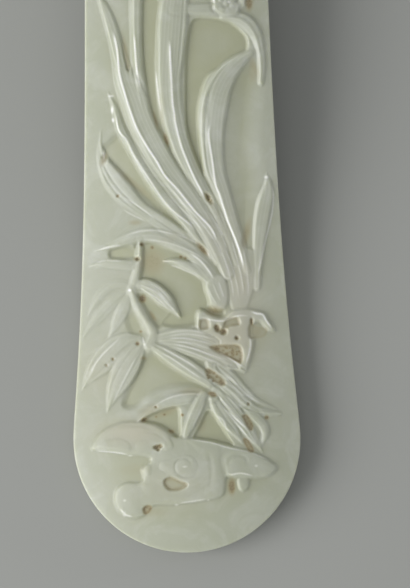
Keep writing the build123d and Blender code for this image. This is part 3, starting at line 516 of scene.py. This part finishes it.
# Crests, folds and ribs are raised, the lines with a negative amount are cut: sheet, points, amount, width.
STRAP, BAMBOO, FUNGUS, ROCK = "strap_leaves", "bamboo", "fungus", "rockwork"
lines = [
    (STRAP, [(-19, 122), (-17.8, 116), (-17.3, 109), (-16, 103.5), (-14.6, 98.5), (-12.5, 92.5),
             (-9.8, 87.5), (-7, 83), (-4.5, 78.5), (-1, 74.5), (4, 68), (8.5, 63), (10.6, 58.5)], 0.9, 0.7),
    (STRAP, [(9.6, 65), (11, 63), (12.6, 59.6)], 0.4, 0.5),
    (STRAP, [(8.8, 60.6), (10.4, 58), (12.2, 54.6)], -0.5, 0.45),
    (STRAP, [(-12.7, 121.5), (-12.4, 115), (-12, 108.5), (-10.8, 103.3)], 0.7, 0.6),
    (STRAP, [(-6.6, 110.5), (-6.4, 107), (-6.2, 104.5), (-5.7, 100), (-5, 96)], 0.5, 0.5),
    (STRAP, [(-2.3, 119), (-2, 106), (-1.8, 100), (-1.4, 97), (-1, 93.5), (0.4, 87.5), (2, 83), (4, 78),
             (6, 74), (7.4, 71)], 0.8, 0.65),
    (STRAP, [(9.5, 104), (9, 101), (8.7, 98), (8.5, 95)], -0.35, 0.6),
    (STRAP, [(9.2, 94), (8.6, 90), (9.5, 83), (10.3, 76), (11.5, 72.5), (12.8, 68), (14, 64), (16, 59),
             (17.5, 54), (18.2, 50)], 0.8, 0.6),
    (STRAP, [(-18.8, 98), (-18, 92.5), (-15.8, 89.5), (-14, 85.5), (-12, 82), (-9.8, 78.5), (-7, 74),
             (-4.5, 70.5), (-1.5, 67.3), (2.5, 64), (4.4, 61)], 0.6, 0.6),
    (STRAP, [(-18, 73), (-16, 72), (-13.5, 70.3), (-11, 68.5), (-9, 66.8), (-7, 65)], 0.4, 0.5),
    (STRAP, [(-18, 69.5), (-15.5, 67.8), (-13, 66.5), (-10, 65)], 0.35, 0.5),
    (STRAP, [(26.5, 76), (27.4, 73), (27.2, 68.5), (26.2, 64), (24.6, 58), (23.2, 52), (22, 48)], 0.5, 0.6),
    (STRAP, [(1.5, 56), (5, 53.5), (7.5, 50.5), (9.5, 47)], 0.6, 0.6),
    (STRAP, [(-25.5, 57), (-23, 57.6), (-20.5, 58.1), (-17.5, 58.5)], 0.5, 0.5),
    (STRAP, [(-4, 52.2), (-2, 51.6), (0, 50.8)], 0.4, 0.5),
    (BAMBOO, [(-27, 53), (-25, 53.6), (-22.5, 54), (-17.5, 53.6)], 0.4, 0.5),
    (BAMBOO, [(-8, 44.8), (-6, 42.6), (-4, 40), (-2, 37.6)], 0.4, 0.4),
    (BAMBOO, [(-12.6, 31.2), (-12.2, 29.6), (-12, 28)], 0.6, 0.5),
    (ROCK, [(19.5, 38), (21.5, 37.2), (23.5, 36.8), (24.5, 35), (25.5, 33.5), (26.5, 32)], 0.8, 0.6),
    (ROCK, [(4.4, 36.4), (8, 35.6), (12, 35.2), (16, 36.6), (20, 36.4)], 0.5, 0.8),
    (ROCK, [(19.4, 31), (19.6, 27), (18, 21.6)], 0.5, 0.7),
    (BAMBOO, [(-6, 31.6), (-2, 32.5), (3, 32.3), (7.6, 31)], 0.35, 0.3),
    (BAMBOO, [(-6, 30.9), (0, 31.5), (5, 30.8), (9, 29.4)], 0.35, 0.3),
    (BAMBOO, [(-6, 30.2), (0, 30.3), (5, 29.2), (9, 27.9)], 0.4, 0.3),
    (BAMBOO, [(-5, 29.5), (2, 28.8), (6, 27.4), (9, 26.2)], 0.35, 0.3),
    (BAMBOO, [(-5, 28.9), (2, 27.3), (8, 25.1), (13, 22.9)], 0.4, 0.3),
    (BAMBOO, [(-4, 28), (2, 25.9), (8, 23.4), (12, 21.8)], 0.3, 0.3),
    (BAMBOO, [(-8, 28.4), (-4, 26), (1, 23), (5, 20)], 0.45, 0.35),
    (BAMBOO, [(-8, 26.6), (-4, 24.4), (1, 20.8), (5.6, 17.4)], 0.4, 0.3),
    (BAMBOO, [(-11.5, 47.4), (-8.4, 46), (-5.6, 43.6), (-3, 40)], 0.35, 0.3),
    (BAMBOO, [(-12, 46.4), (-9, 44.8), (-6.4, 42.6), (-3.4, 39)], 0.4, 0.3),
    (BAMBOO, [(-12, 45.2), (-9.6, 43.6), (-7, 41.6), (-4.4, 39)], 0.4, 0.3),
    (BAMBOO, [(10, 12.8), (13.4, 8.8), (16.6, 4.8), (19.4, 0.6)], 0.4, 0.3),
    (BAMBOO, [(9.6, 11.4), (12.6, 7.4), (16, 3.2), (19, -0.6)], 0.4, 0.3),
    (BAMBOO, [(11.4, 13.6), (14.8, 10), (17.4, 6.6)], 0.3, 0.3),
    (BAMBOO, [(12, 20.2), (15.6, 15.8), (19, 12.4), (23, 10)], 0.4, 0.3),
    (BAMBOO, [(11.4, 19), (14.8, 15), (18, 12)], 0.3, 0.3),
    (BAMBOO, [(6.6, 12.8), (4.6, 8.8), (2.4, 4.6), (0.8, 0.8)], 0.3, 0.3),
    (BAMBOO, [(6, 13.4), (0, 13.6), (-5, 12.6), (-10, 10)], 0.25, 0.3),
    (BAMBOO, [(-18, 32), (-22, 28.4), (-26, 24.2), (-29.4, 18.6)], 0.35, 0.35),
    (BAMBOO, [(-14, 26), (-17, 20.6), (-20, 15), (-22.6, 10)], 0.35, 0.35),
    (STRAP, [(10.6, 58.5), (12.8, 52.6), (14.4, 46.4), (15, 41)], 0.35, 0.35),
    (STRAP, [(12.2, 58), (14.4, 52), (16, 46), (16.6, 41)], 0.3, 0.35),
    (STRAP, [(14.6, 60), (16, 54), (17.4, 48), (18, 42)], 0.35, 0.35),
    (STRAP, [(17.8, 58), (18.8, 52), (19.4, 46), (19, 41)], 0.3, 0.35),
    (STRAP, [(7.2, 45.6), (8.4, 42.6), (10.2, 39.6)], 0.3, 0.3),
    (STRAP, [(6, 47.4), (3, 49.4), (-0.6, 51), (-3.6, 52.2)], 0.3, 0.3),
    (STRAP, [(8.6, 51.2), (5, 54.6), (-0.4, 57.4), (-6, 59.2), (-12, 60)], 0.3, 0.3),
    (STRAP, [(9.8, 52.2), (6, 57), (1, 60.2), (-5, 62), (-11, 62.6), (-17, 61.4)], 0.3, 0.3),
    (STRAP, [(12.6, 53), (9.4, 59.4), (5.4, 65), (0.6, 70.4), (-3.6, 75.8)], 0.35, 0.3),
    (STRAP, [(7, 60.8), (3.6, 65.2), (-0.6, 69.4), (-5, 74.6)], 0.3, 0.3),
    (STRAP, [(14, 55), (11, 62.4), (7.6, 68.8)], 0.3, 0.3),
    (STRAP, [(8.6, 47), (9.8, 43.8), (11.2, 40.6)], 0.3, 0.3),
    (STRAP, [(10.4, 47.4), (11.4, 44.4), (12.2, 41.6)], 0.3, 0.3),
    (BAMBOO, [(9, 26.3), (12, 24.8), (15, 22.9), (18, 20.8)], 0.6, 0.4),
    (BAMBOO, [(11, 9.5), (14, 6.6), (17, 3.8), (19.5, 1.5)], 0.5, 0.45),
    (BAMBOO, [(8.5, 7.5), (11, 5.5), (12, 3), (14, 1.5)], 0.4, 0.5),
    (FUNGUS, [(-26, 1.6), (-22, 4.4), (-17, 4.8), (-12.5, 4.2), (-8.4, 2.6)], -0.3, 0.6),
    (FUNGUS, [(-28, -2.8), (-24, -3.1), (-20, -3.6), (-16.6, -4.4)], 0.5, 0.5),
    (FUNGUS, [(-13, 2.6), (-9.6, 2.2), (-6.4, 0), (-5.4, -2.8)], -0.2, 0.5),
    (FUNGUS, [(3.6, -8), (2.4, -10.4), (-0.8, -11.2), (-3.4, -9.6), (-3.4, -6.8), (-1, -5.4), (1, -6.8),
              (0.6, -8.6)], -0.35, 0.4),
    (FUNGUS, [(0, 0.2), (4, -0.4), (8, -1.2), (12, -2.6), (18, -4), (22, -5.6), (25.4, -7.4)], 0.35, 0.5),
    (FUNGUS, [(11.6, -10), (13, -10.7), (16, -10.4), (20, -11.4)], 0.5, 0.5),
    (FUNGUS, [(12.4, -8.8), (12.6, -6.4), (15, -5), (17.6, -6), (17.2, -8.4)], -0.35, 0.5),
    (FUNGUS, [(6, -3), (7, -7), (7, -12), (6, -16)], -0.3, 0.8),
    (FUNGUS, [(-20.5, -20), (-19, -22), (-16.4, -22.8)], 0.5, 0.6),
    (FUNGUS, [(-3.5, -19), (0, -18.6), (6, -17.8)], 0.4, 0.6),
]
for sheet, points, amount, width in lines:
    board.line(sheet, points, amount, width)

# Drilled and worn pits, with dirt and painted shade in them: x, y, radii, depth, dirt and shade, turn. With
# no depth, only the dirt and painted shade.
pits = [
    (-4, 89.4, 0.55, 1.8, 0.8, 0.75, 15), (-7, 95, 0.5, 2.8, 0.4, 0.45, 12),
    (-15.3, 115, 0.7, 4.8, 1.4, 0.35, 8), (-14.7, 111, 0.6, 1.1, 1.2, 0.35, 0),
    (8.2, 71.6, 0.7, 1.8, 1.2, 0.6, 32), (19.2, 61, 1, 4, 0.8, 0.4, -14), (6, 56.6, 0.7, 2.2, 1.6, 0.7, 40),
    (-14, 65, 1.8, 0.7, 1, 0.35, 0), (-18.8, 73, 0.45, 0.45, 1, 0.8, 0), (-0.5, 54.5, 0.45, 0.4, 1.5, 1, 0),
    (0.8, 54.1, 0.4, 0.35, 1.5, 1, 0), (-12, 58.5, 0.5, 0.45, 1.5, 0.9, 0),
    (-9, 57.5, 0.5, 0.5, 1.5, 0.9, 0), (-13.6, 54.2, 0.9, 0.5, 1.5, 0.7, 0),
    (-9, 53.2, 3.4, 3.6, 0, 0.4, 0), (-16, -8.6, 4.6, 1.8, 0, 0.14, 0), (-6, 8.4, 3.6, 1.2, 0, 0.3, 20),
    (4.4, 4.4, 1.6, 2.4, 0, 0.2, 0), (-14, 76.6, 7, 0.9, 0, 0.28, -41), (-10, -21.6, 4, 1.2, 0, 0.18, 0),
    (-3.6, 60, 1.6, 4, 0, 0.12, -60), (21.6, 31.6, 2, 1.6, 0, 0.3, 0), (-5, 99, 1, 7, 0, 0.14, 0),
    (4, 84, 0.9, 7, 0, 0.12, 12), (21.8, 107.6, 1, 2, 0, 0.2, 20), (9, 38.2, 2.2, 1.3, 0, 0.5, 0),
    (-12.2, 42.3, 0.9, 1, 2, 1, 0), (-14, 29, 0.5, 0.5, 1.6, 1, 0), (-13, 32.6, 0.45, 0.4, 1.2, 0.8, 0),
    (-9.2, 37, 0.5, 1.6, 0, 0.5, 30), (-21.5, 24.5, 0.4, 0.4, 1, 0.8, 0),
    (-23.5, 22.7, 0.35, 0.35, 1, 0.7, 0), (-12.4, 24.6, 0.9, 0.5, 0, 0.5, 0), (9.8, 33, 0.7, 1, 3, 1, 20),
    (11.6, 32, 0.9, 0.8, 3, 0.9, 0), (15.6, 30, 0.5, 0.5, 2, 0.8, 0), (20.1, 34.6, 0.4, 1.1, 3, 0.9, 0),
    (9.6, 27, 0.9, 0.5, 1, 0.9, -10), (11.4, 26.4, 0.6, 0.4, 1, 0.6, -20),
    (14.3, 25.6, 0.5, 1.6, 1, 0.8, 0), (7.1, 20.1, 0.8, 0.5, 1, 0.85, -40),
    (10.4, 17.1, 0.7, 0.5, 1, 0.85, -40), (7.9, 13.4, 1.2, 0.6, 2.5, 0.9, -20),
    (18.6, 10.2, 0.4, 0.4, 1.5, 0.6, 0), (24, 6, 0.6, 0.6, 2, 0.8, 0), (-9, 10, 0.35, 0.3, 1, 1, 0),
    (-9, 7, 0.35, 0.3, 1, 1, 0), (-6.5, 7.6, 0.35, 0.3, 1, 1, 0), (-1.2, 7.4, 0.4, 0.4, 1.5, 1, 0),
    (-12.6, 6.2, 1, 0.6, 0, 0.8, 30), (-4.6, 2.6, 0.9, 0.5, 1, 0.8, -20),
    (-8.9, -2, 0.95, 0.55, 2, 0.9, 10), (-7.9, -1.7, 0.5, 0.5, 2, 0.7, 0),
    (-8.6, -2.7, 0.5, 0.4, 2, 0.7, 0), (13.1, -14.4, 1, 2.2, 2.6, 0.75, 0), (21.4, 129, 1, 2, 2.4, 0.7, 0),
    (-10.8, 9, 3.4, 1.8, 0, 0.24, 20), (2, 14.4, 4, 1.2, 0, 0.25, 0), (-3, 17, 3, 6, 0, 0.08, 0),
    (22.4, 110, 1, 3, 0, 0.3, 20), (-22.6, 84, 0.8, 2, 1, 0.4, -25),
]

# Specks of dirt at random places in the rock's upper hole, then in its slanting lower one.
UPPER_SPECKS, LOWER_SPECKS = 31, 15
for k in range(UPPER_SPECKS + LOWER_SPECKS):
    x, y = 8.6 + 7.8 * rng.random(), 22.6 + 5 * rng.random()
    in_hole = y >= 27.4 - 0.45 * (x - 8)
    if k >= UPPER_SPECKS:
        x, y = 6.6 + 4.6 * rng.random(), 16.6 + 4 * rng.random()
        in_hole = abs((x - 6.4) + (y - 20.4)) <= 1.6
    if not in_hole:
        continue
    size = 0.25 + 0.3 * rng.random()
    pits.append((x, y, size, 0.8 * size, 0.3, 0.5 + 0.5 * rng.random(), 60 * rng.random()))

# Holes through every form: outline, and dirt with painted shade.
holes = [
    ([(8, 27.7), (16.2, 27.5), (16.8, 22.7), (13.8, 23.9), (9.2, 26.2)], 0.6),
    ([(6.1, 20.9), (8, 20.5), (11.8, 17), (11, 15.9), (9, 17), (6.5, 19.3)], 0.55),
    ([(11.6, 32.8), (12.6, 35.4), (15.8, 36), (16.4, 34), (14, 33.6)], 0.4),
    ([(4.7, 33), (4.9, 35.5), (7, 35.6), (7.2, 33.2)], 0.4),
    ([(19.4, 30.2), (19.5, 33.8), (21.6, 33.2), (24.6, 32.4), (24, 30.4), (21.6, 29.8)], 0.35),
    ([(16.8, 6.5), (18.4, 6.6), (19.8, 3.5), (18.8, 2.5)], 0.7),
    ([(16.8, -0.3), (18.3, -0.6), (19.9, -3.7), (18.5, -3.9)], 0.7),
    ([(-7, -12), (-5.2, -11.1), (-2.4, -12.3), (-0.2, -13.4), (-2.2, -14.8), (-5.2, -15), (-6.8, -13.8)],
     0.48),
    ([(-13.5, -20.5), (-12.4, -19.5), (-11, -19.9), (-11.6, -21.4), (-13, -22)], 0.8),
]
for outline, dirt_and_shade in holes:
    board.hole(outline, dirt_and_shade)
for x, y, rx, ry, depth, dirt_and_shade, turn in pits:
    board.pit(x, y, rx, ry, depth, dirt_and_shade, turn)

# Small painted highlights, glints brighter on the leaves than on the fungus, where the stone is also less
# rough: x, y, radii.
LEAF_SHINE, FUNGUS_SHINE, FUNGUS_END = 0.7, 0.4, 40
spots = [
    (-20, 102.5, 0.7, 0.35), (-19.8, 98.4, 0.35, 1.0), (-19.6, 95.4, 0.4, 0.6), (25.4, 77.6, 0.6, 0.4),
    (-16, 45, 0.5, 0.4), (-19, -17.8, 0.5, 0.4), (20.5, -8.3, 0.5, 0.4), (-0.8, -8, 0.8, 0.3),
    (6, -18.2, 0.4, 0.3), (-3.5, -19.4, 0.6, 0.35), (-17, -4.4, 0.7, 0.3), (12.6, 130.6, 0.3, 0.7),
    (11, 130, 0.3, 0.8), (15.4, 129.2, 0.5, 0.3), (-22.6, 85, 0.3, 1.6), (-19.2, -21.8, 0.5, 0.9),
]
for x, y, rx, ry in spots:
    shine = LEAF_SHINE if y > FUNGUS_END else FUNGUS_SHINE
    board.crest = np.maximum(board.crest, shine * board.spot(x, y, rx, ry))

# Olive tints on the ground in the recesses, painted shade, partly dirt: x, y, radii, amount.
tints = [
    (-17, -9, 8, 3.4, 0.5), (-5, -23, 14, 3, 0.35), (14, -15, 4, 4, 0.5), (20, 108, 4, 5, 0.3),
    (22, 8, 4, 5, 0.3), (-16, 35, 4, 5, 0.3), (23, 31, 3, 3, 0.3),
]
for x, y, rx, ry, amount in tints:
    board.olive_shade += amount * board.spot(x, y, rx, ry)

# The hollows are what lies below a softened copy of the carving. They get a greener, darker tone: painted
# shade, partly dirt.
EVEN_OUT, CLOSE_BY, WIDER = 0.14, 1.4, 4.0                      # radii of softening, in mm
HOLLOW_SHADE_SOFT, OLIVE_SHADE_SOFT, DIRT_AND_SHADE_SOFT = 0.35, 0.9, 0.12
carved = board.blur(board.top(), EVEN_OUT)
hollow_shade = 0.4 * np.clip((board.blur(carved, CLOSE_BY) - carved) / 0.6, 0, 1)
hollow_shade += 0.5 * np.clip((board.blur(carved, WIDER) - carved) / 0.7, 0, 1)
bare_ground = carved < board.ground + 0.2
# The olive shade painted in the recesses joins the hollows' shade on the bare ground.
olive_shade = board.blur(board.olive_shade, OLIVE_SHADE_SOFT)
hollow_shade = np.clip(board.blur(hollow_shade, HOLLOW_SHADE_SOFT) + 0.8 * olive_shade * bare_ground, 0, 1)
dirt_and_shade = np.clip(board.blur(board.dirt_and_shade, DIRT_AND_SHADE_SOFT), 0, 1)


# ------------------------------------------------------------------ meshes
def add_mesh(name, points, faces, tones, nodes):
    """A smooth-shaded mesh in the row frame from mm points, with its tones kept as point attributes."""
    mesh = bpy.data.meshes.new(name)
    tail_centre = np.array([0, TAIL_Y * MM, 0], dtype=np.float32)
    points = np.asarray(points, dtype=np.float32).reshape(-1, 3) * MM + tail_centre
    faces = np.asarray(faces, dtype=np.int32).reshape(-1, 4)
    mesh.vertices.add(len(points))
    mesh.vertices.foreach_set("co", points.ravel())
    mesh.loops.add(faces.size)
    mesh.loops.foreach_set("vertex_index", faces.ravel())
    mesh.polygons.add(len(faces))
    mesh.polygons.foreach_set("loop_start", np.arange(0, faces.size, 4, dtype=np.int32))
    mesh.update(calc_edges=True)
    for tone, values in tones.items():
        values = np.asarray(values, dtype=np.float32).ravel()
        mesh.attributes.new(tone, "FLOAT", "POINT").data.foreach_set("value", values)
    mesh.validate()
    mesh.shade_smooth()
    piece = bpy.data.objects.new(name, mesh)
    bpy.context.scene.collection.objects.link(piece)
    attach(piece, "root")
    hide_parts(*nodes)
    return piece


def make_shaft():
    """The carved stone: rows of sections along the shaft, and the same section turned round for the tail."""
    inner = TAIL_R - TOP_ROUND
    across = int(inner / COLS)
    bend = np.linspace(0, math.pi / 2, 6)[1:]
    # Rows: share of the half width, inset, drop below the face or rise over the foot, and whether the
    # point follows the face.
    profile = [(k / across, TOP_ROUND, 0.0, True) for k in range(across + 1)]
    profile += [(1.0, TOP_ROUND * (1 - math.sin(a)), TOP_ROUND * (1 - math.cos(a)), True) for a in bend]
    profile += [(1.0, 0.0, FOOT_ROUND + 2, False)]
    for a in (0, *bend[:-1]):
        profile.append((1.0, FOOT_ROUND * (1 - math.cos(a)), FOOT_ROUND * (1 - math.sin(a)), False))
    profile += [(share, FOOT_ROUND, 0.0, False) for share in np.linspace(1, 0, 12)]
    share, inset, off, top = (np.array(v) for v in zip(*profile))

    def place(x, y):
        """Heights of a section's points."""
        relief = board.sample(carved, x, y) * (y < CARVING_END) * (share < 0.999)
        return np.where(top, top_z(x, y) + relief - off, foot_z(y) + off)

    count = len(profile)
    rings = []
    # The tail, from the right flank round to the left one: points in polar order.
    turns = int(math.pi * TAIL_R / COLS)
    for t in np.linspace(0, -math.pi, turns + 1):
        reach = share * (TAIL_R - inset)
        x, y = reach * math.cos(t), reach * math.sin(t)
        rings.append(np.column_stack([x, y, place(x, y)]))
    tail = np.array(rings)
    fine, coarse = np.arange(0, FINE_END, COLS), np.arange(FINE_END, PLAIN_START, COARSE_STEP)
    rows = np.concatenate([fine, coarse, np.arange(PLAIN_START, PLAIN_END, PLAIN_STEP)])
    last = rows[-1]
    body = []
    for side in (1, -1):
        lines = []
        for y0 in rows:
            x = side * share * (half_width(y0) - inset)
            y = np.full(count, y0)
            lines.append(np.column_stack([x, y, place(x, y)]))
        # The last stretch closes on the head's foot, a plane square to the head, found in a few steps.
        first_guess, rounds, pull = 320.0, 12, 0.8
        end = np.full(count, first_guess)
        for _ in range(rounds):
            z = np.where(top, top_z(side * share * (half_width(end) - inset), end) - off, foot_z(end) + off)
            gap = (end - ROOT.y) * math.cos(TILT) + (z - ROOT.z) * math.sin(TILT) + HEAD_FOOT
            end = end - gap * pull
        for step in np.linspace(0, 1, CLOSING_ROWS + 1)[1:]:
            y = last + (end - last) * step
            x = side * share * (half_width(y) - inset)
            z = np.where(top, top_z(x, y) - off, foot_z(y) + off)
            lines.append(np.column_stack([x, y, z]))
        body.append(np.array(lines))
    right, left = body
    points, faces = [tail.reshape(-1, 3)], []

    def weave(base, n_lines, flip):
        """Quads between neighbouring sections, whose points start at base."""
        a = base + np.arange(n_lines - 1)[:, None] * count + np.arange(count - 1)[None]
        quad = np.stack([a, a + 1, a + count + 1, a + count], axis=-1).reshape(-1, 4)
        return quad[:, ::-1] if flip else quad

    faces.append(weave(0, len(tail), False))
    base = tail.shape[0] * count
    for lines, flip in ((right, True), (left, False)):
        points.append(lines.reshape(-1, 3))
        faces.append(weave(base, len(lines), flip))
        base += len(lines) * count
    points, faces = np.concatenate(points), np.concatenate(faces)
    x, y = points[:, 0], points[:, 1]
    on_face = (points[:, 2] > top_z(x, y) - FACE_BAND) & (y < CARVING_END)
    # The point tones: painted shade in the hollows, dirt with painted shade, the stone's tan stains, and
    # painted highlights.
    grids = {"hollow_shade": hollow_shade, "dirt_and_shade": dirt_and_shade, "tan": board.tan, "crest": board.crest}
    tones = {tone: board.sample(grid, x, y) * on_face for tone, grid in grids.items()}
    piece = add_mesh("carved_stone", points, faces, tones, ["shaft", *carving])
    weld = piece.modifiers.new("weld", "WELD")
    weld.merge_threshold = 0.02 * MM


kinds = ("leaf_", "root_", "bud_", "bamboo_", "rock", "lingzhi_", "blossom_", "petal_", "upper_")
carving = sorted(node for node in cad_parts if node.startswith(kinds))
make_shaft()


# ------------------------------------------------------------------ jade
PALE, PALER, CLOUD = (0.435, 0.455, 0.35), (0.48, 0.495, 0.41), (0.585, 0.60, 0.54)
# The greener shade is painted shade for the hollows, the near white a painted highlight, the ochre and dark
# brown dirt with painted shade.
GRAIN, WARM, GREEN_PAINTED_SHADE = (0.42, 0.44, 0.33), (0.56, 0.52, 0.405), (0.425, 0.435, 0.29)
PAINTED_HIGHLIGHT, OCHRE, SOIL_AND_SHADE_BROWN = (0.88, 0.88, 0.84), (0.37, 0.305, 0.155), (0.15, 0.1, 0.045)


def jade(name, attributes):
    """Pale celadon stone: cloudy, a little translucent, with a greener painted shade in the hollows, dirt and
    painted shade brown in pits and holes, and painted highlights on crests.
    """
    material = bpy.data.materials.new(name)
    material.use_nodes = True
    tree = material.node_tree
    make, link = tree.nodes.new, tree.links.new
    shader = tree.nodes["Principled BSDF"]
    place = make("ShaderNodeTexCoord").outputs["Object"]

    def noise(scale, detail, rough=0.55, distortion=0.0):
        node = make("ShaderNodeTexNoise")
        node.inputs["Scale"].default_value = scale
        node.inputs["Detail"].default_value = detail
        node.inputs["Roughness"].default_value = rough
        node.inputs["Distortion"].default_value = distortion
        link(place, node.inputs["Vector"])
        return node.outputs["Fac"]

    def span(value, a, b, c, d):
        node = make("ShaderNodeMapRange")
        for key, number in zip(("From Min", "From Max", "To Min", "To Max"), (a, b, c, d)):
            node.inputs[key].default_value = number
        link(value, node.inputs["Value"])
        return node.outputs["Result"]

    def mix(amount, a, b):
        node = make("ShaderNodeMix")
        node.data_type = "RGBA"
        link(amount, node.inputs[0])
        for socket, value in ((node.inputs[6], a), (node.inputs[7], b)):
            if isinstance(value, tuple):
                socket.default_value = (*value, 1)
            else:
                link(value, socket)
        return node.outputs[2]

    colour = mix(span(noise(28, 2), 0.35, 0.68, 0, 1), PALE, PALER)
    colour = mix(span(noise(85, 5, 0.62, 1.2), 0.48, 0.72, 0, 0.55), colour, CLOUD)
    colour = mix(span(noise(420, 3), 0.4, 0.8, 0, 0.25), colour, GRAIN)
    if attributes:
        def tone(key):
            """A value that the mesh carries at its points."""
            node = make("ShaderNodeAttribute")
            node.attribute_name = key
            return node.outputs["Fac"]
        hollow_shade_tone, soil_and_shade, warm, highlight_and_polish = tone("hollow_shade"), tone("dirt_and_shade"), tone("tan"), tone("crest")
        colour = mix(span(warm, 0, 1, 0, 0.6), colour, WARM)
        # Painted shade, greener and darker, in the hollows.
        colour = mix(span(hollow_shade_tone, 0.0, 0.9, 0, 0.85), colour, GREEN_PAINTED_SHADE)
        # Painted highlight, near white, on crests, streaks and spots.
        colour = mix(span(highlight_and_polish, 0.05, 0.62, 0, 0.92), colour, PAINTED_HIGHLIGHT)
        # Dirt with painted shade, ochre and then dark brown, in pits and holes.
        colour = mix(span(soil_and_shade, 0.05, 0.6, 0, 0.75), colour, OCHRE)
        broken = make("ShaderNodeMath")
        broken.operation = "MULTIPLY"
        link(soil_and_shade, broken.inputs[0])
        link(span(noise(1500, 3, 0.6), 0.3, 0.62, 0.45, 1.0), broken.inputs[1])
        colour = mix(span(broken.outputs[0], 0.3, 0.9, 0, 0.85), colour, SOIL_AND_SHADE_BROWN)
    link(colour, shader.inputs["Base Color"])
    gloss = span(noise(160, 4), 0.3, 0.7, 0.42, 0.52)
    if attributes:
        polished = make("ShaderNodeMath")
        polished.operation = "MULTIPLY_ADD"
        polished.use_clamp = True
        link(highlight_and_polish, polished.inputs[0])
        polished.inputs[1].default_value = -0.36
        link(gloss, polished.inputs[2])
        gloss = polished.outputs[0]
    link(gloss, shader.inputs["Roughness"])
    bump = make("ShaderNodeBump")
    bump.inputs["Strength"].default_value = 0.12
    bump.inputs["Distance"].default_value = 0.0003
    link(noise(520, 5, 0.6), bump.inputs["Height"])
    link(bump.outputs["Normal"], shader.inputs["Normal"])
    shader.inputs["IOR"].default_value = 1.6
    shader.inputs["Subsurface Weight"].default_value = 0.9
    shader.inputs["Subsurface Radius"].default_value = (1.0, 1.0, 0.8)
    shader.inputs["Subsurface Scale"].default_value = 0.0026
    shader.inputs["Coat Weight"].default_value = 0.04
    shader.inputs["Coat Roughness"].default_value = 0.12
    return material


carved_jade, plain_jade = jade("jade_carved", True), jade("jade_plain", False)
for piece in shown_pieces():
    if piece.name == "carved_stone":
        piece.data.materials.append(carved_jade)
    else:
        for slot in piece.material_slots:
            slot.material = plain_jade

# ------------------------------------------------------------------ floor, light, camera
bpy.ops.mesh.primitive_plane_add(size=6, location=(0, 0, 0))
floor = bpy.context.object
floor.name = "paper_floor"
paper = bpy.data.materials.new("paper")
paper.use_nodes = True
paper_shader = paper.node_tree.nodes["Principled BSDF"]
paper_shader.inputs["Base Color"].default_value = (0.33, 0.335, 0.315, 1)
paper_shader.inputs["Roughness"].default_value = 0.9
floor.data.materials.append(paper)

world = bpy.data.worlds.new("studio")
world.use_nodes = True
world.node_tree.nodes["Background"].inputs["Color"].default_value = (0.96, 0.98, 1.0, 1)
world.node_tree.nodes["Background"].inputs["Strength"].default_value = 0.46
bpy.context.scene.world = world


def lamp(name, place, aim, size, power):
    data = bpy.data.lights.new(name, "AREA")
    data.shape = "SQUARE"
    data.size = size
    data.energy = power
    light = bpy.data.objects.new(name, data)
    light.location = place
    light.rotation_euler = (Vector(aim) - Vector(place)).to_track_quat("-Z", "Y").to_euler()
    bpy.context.scene.collection.objects.link(light)


lamp("key", place=(-1.2, -0.52, 0.84), aim=(0, -0.13, 0), size=1.2, power=22.5)
lamp("rim", place=(1.4, 0.2, 0.35), aim=(0, -0.1, 0), size=0.25, power=1.4)

# The photograph, in pixels: its size, the tail's centre and width. The scepter leans in it a little.
PHOTO_WIDE, PHOTO_HIGH, TAIL_PX, TAIL_PY, TAIL_WIDE = 410, 588, 186.8, 440, 228.5
K = 2 * TAIL_R / TAIL_WIDE              # mm in one pixel, at the tail's face
LEAN = math.radians(1.33)
cx, cy = (PHOTO_WIDE / 2 - TAIL_PX) * K, (TAIL_PY - PHOTO_HIGH / 2) * K
centre = Vector((cx * math.cos(LEAN) + cy * math.sin(LEAN), cy * math.cos(LEAN) - cx * math.sin(LEAN), 0))
data = bpy.data.cameras.new("camera")
distance, frame_height = 1.25, PHOTO_HIGH * K * MM
data.sensor_width = 36
data.lens = data.sensor_width * distance / frame_height
camera = bpy.data.objects.new("camera", data)
face_height = 0.016
camera.location = (centre.x * MM, (centre.y + TAIL_Y) * MM, face_height + distance)
camera.rotation_euler = (0, 0, -LEAN)
bpy.context.scene.collection.objects.link(camera)
bpy.context.scene.camera = camera
bpy.context.scene.view_settings.view_transform = "Standard"
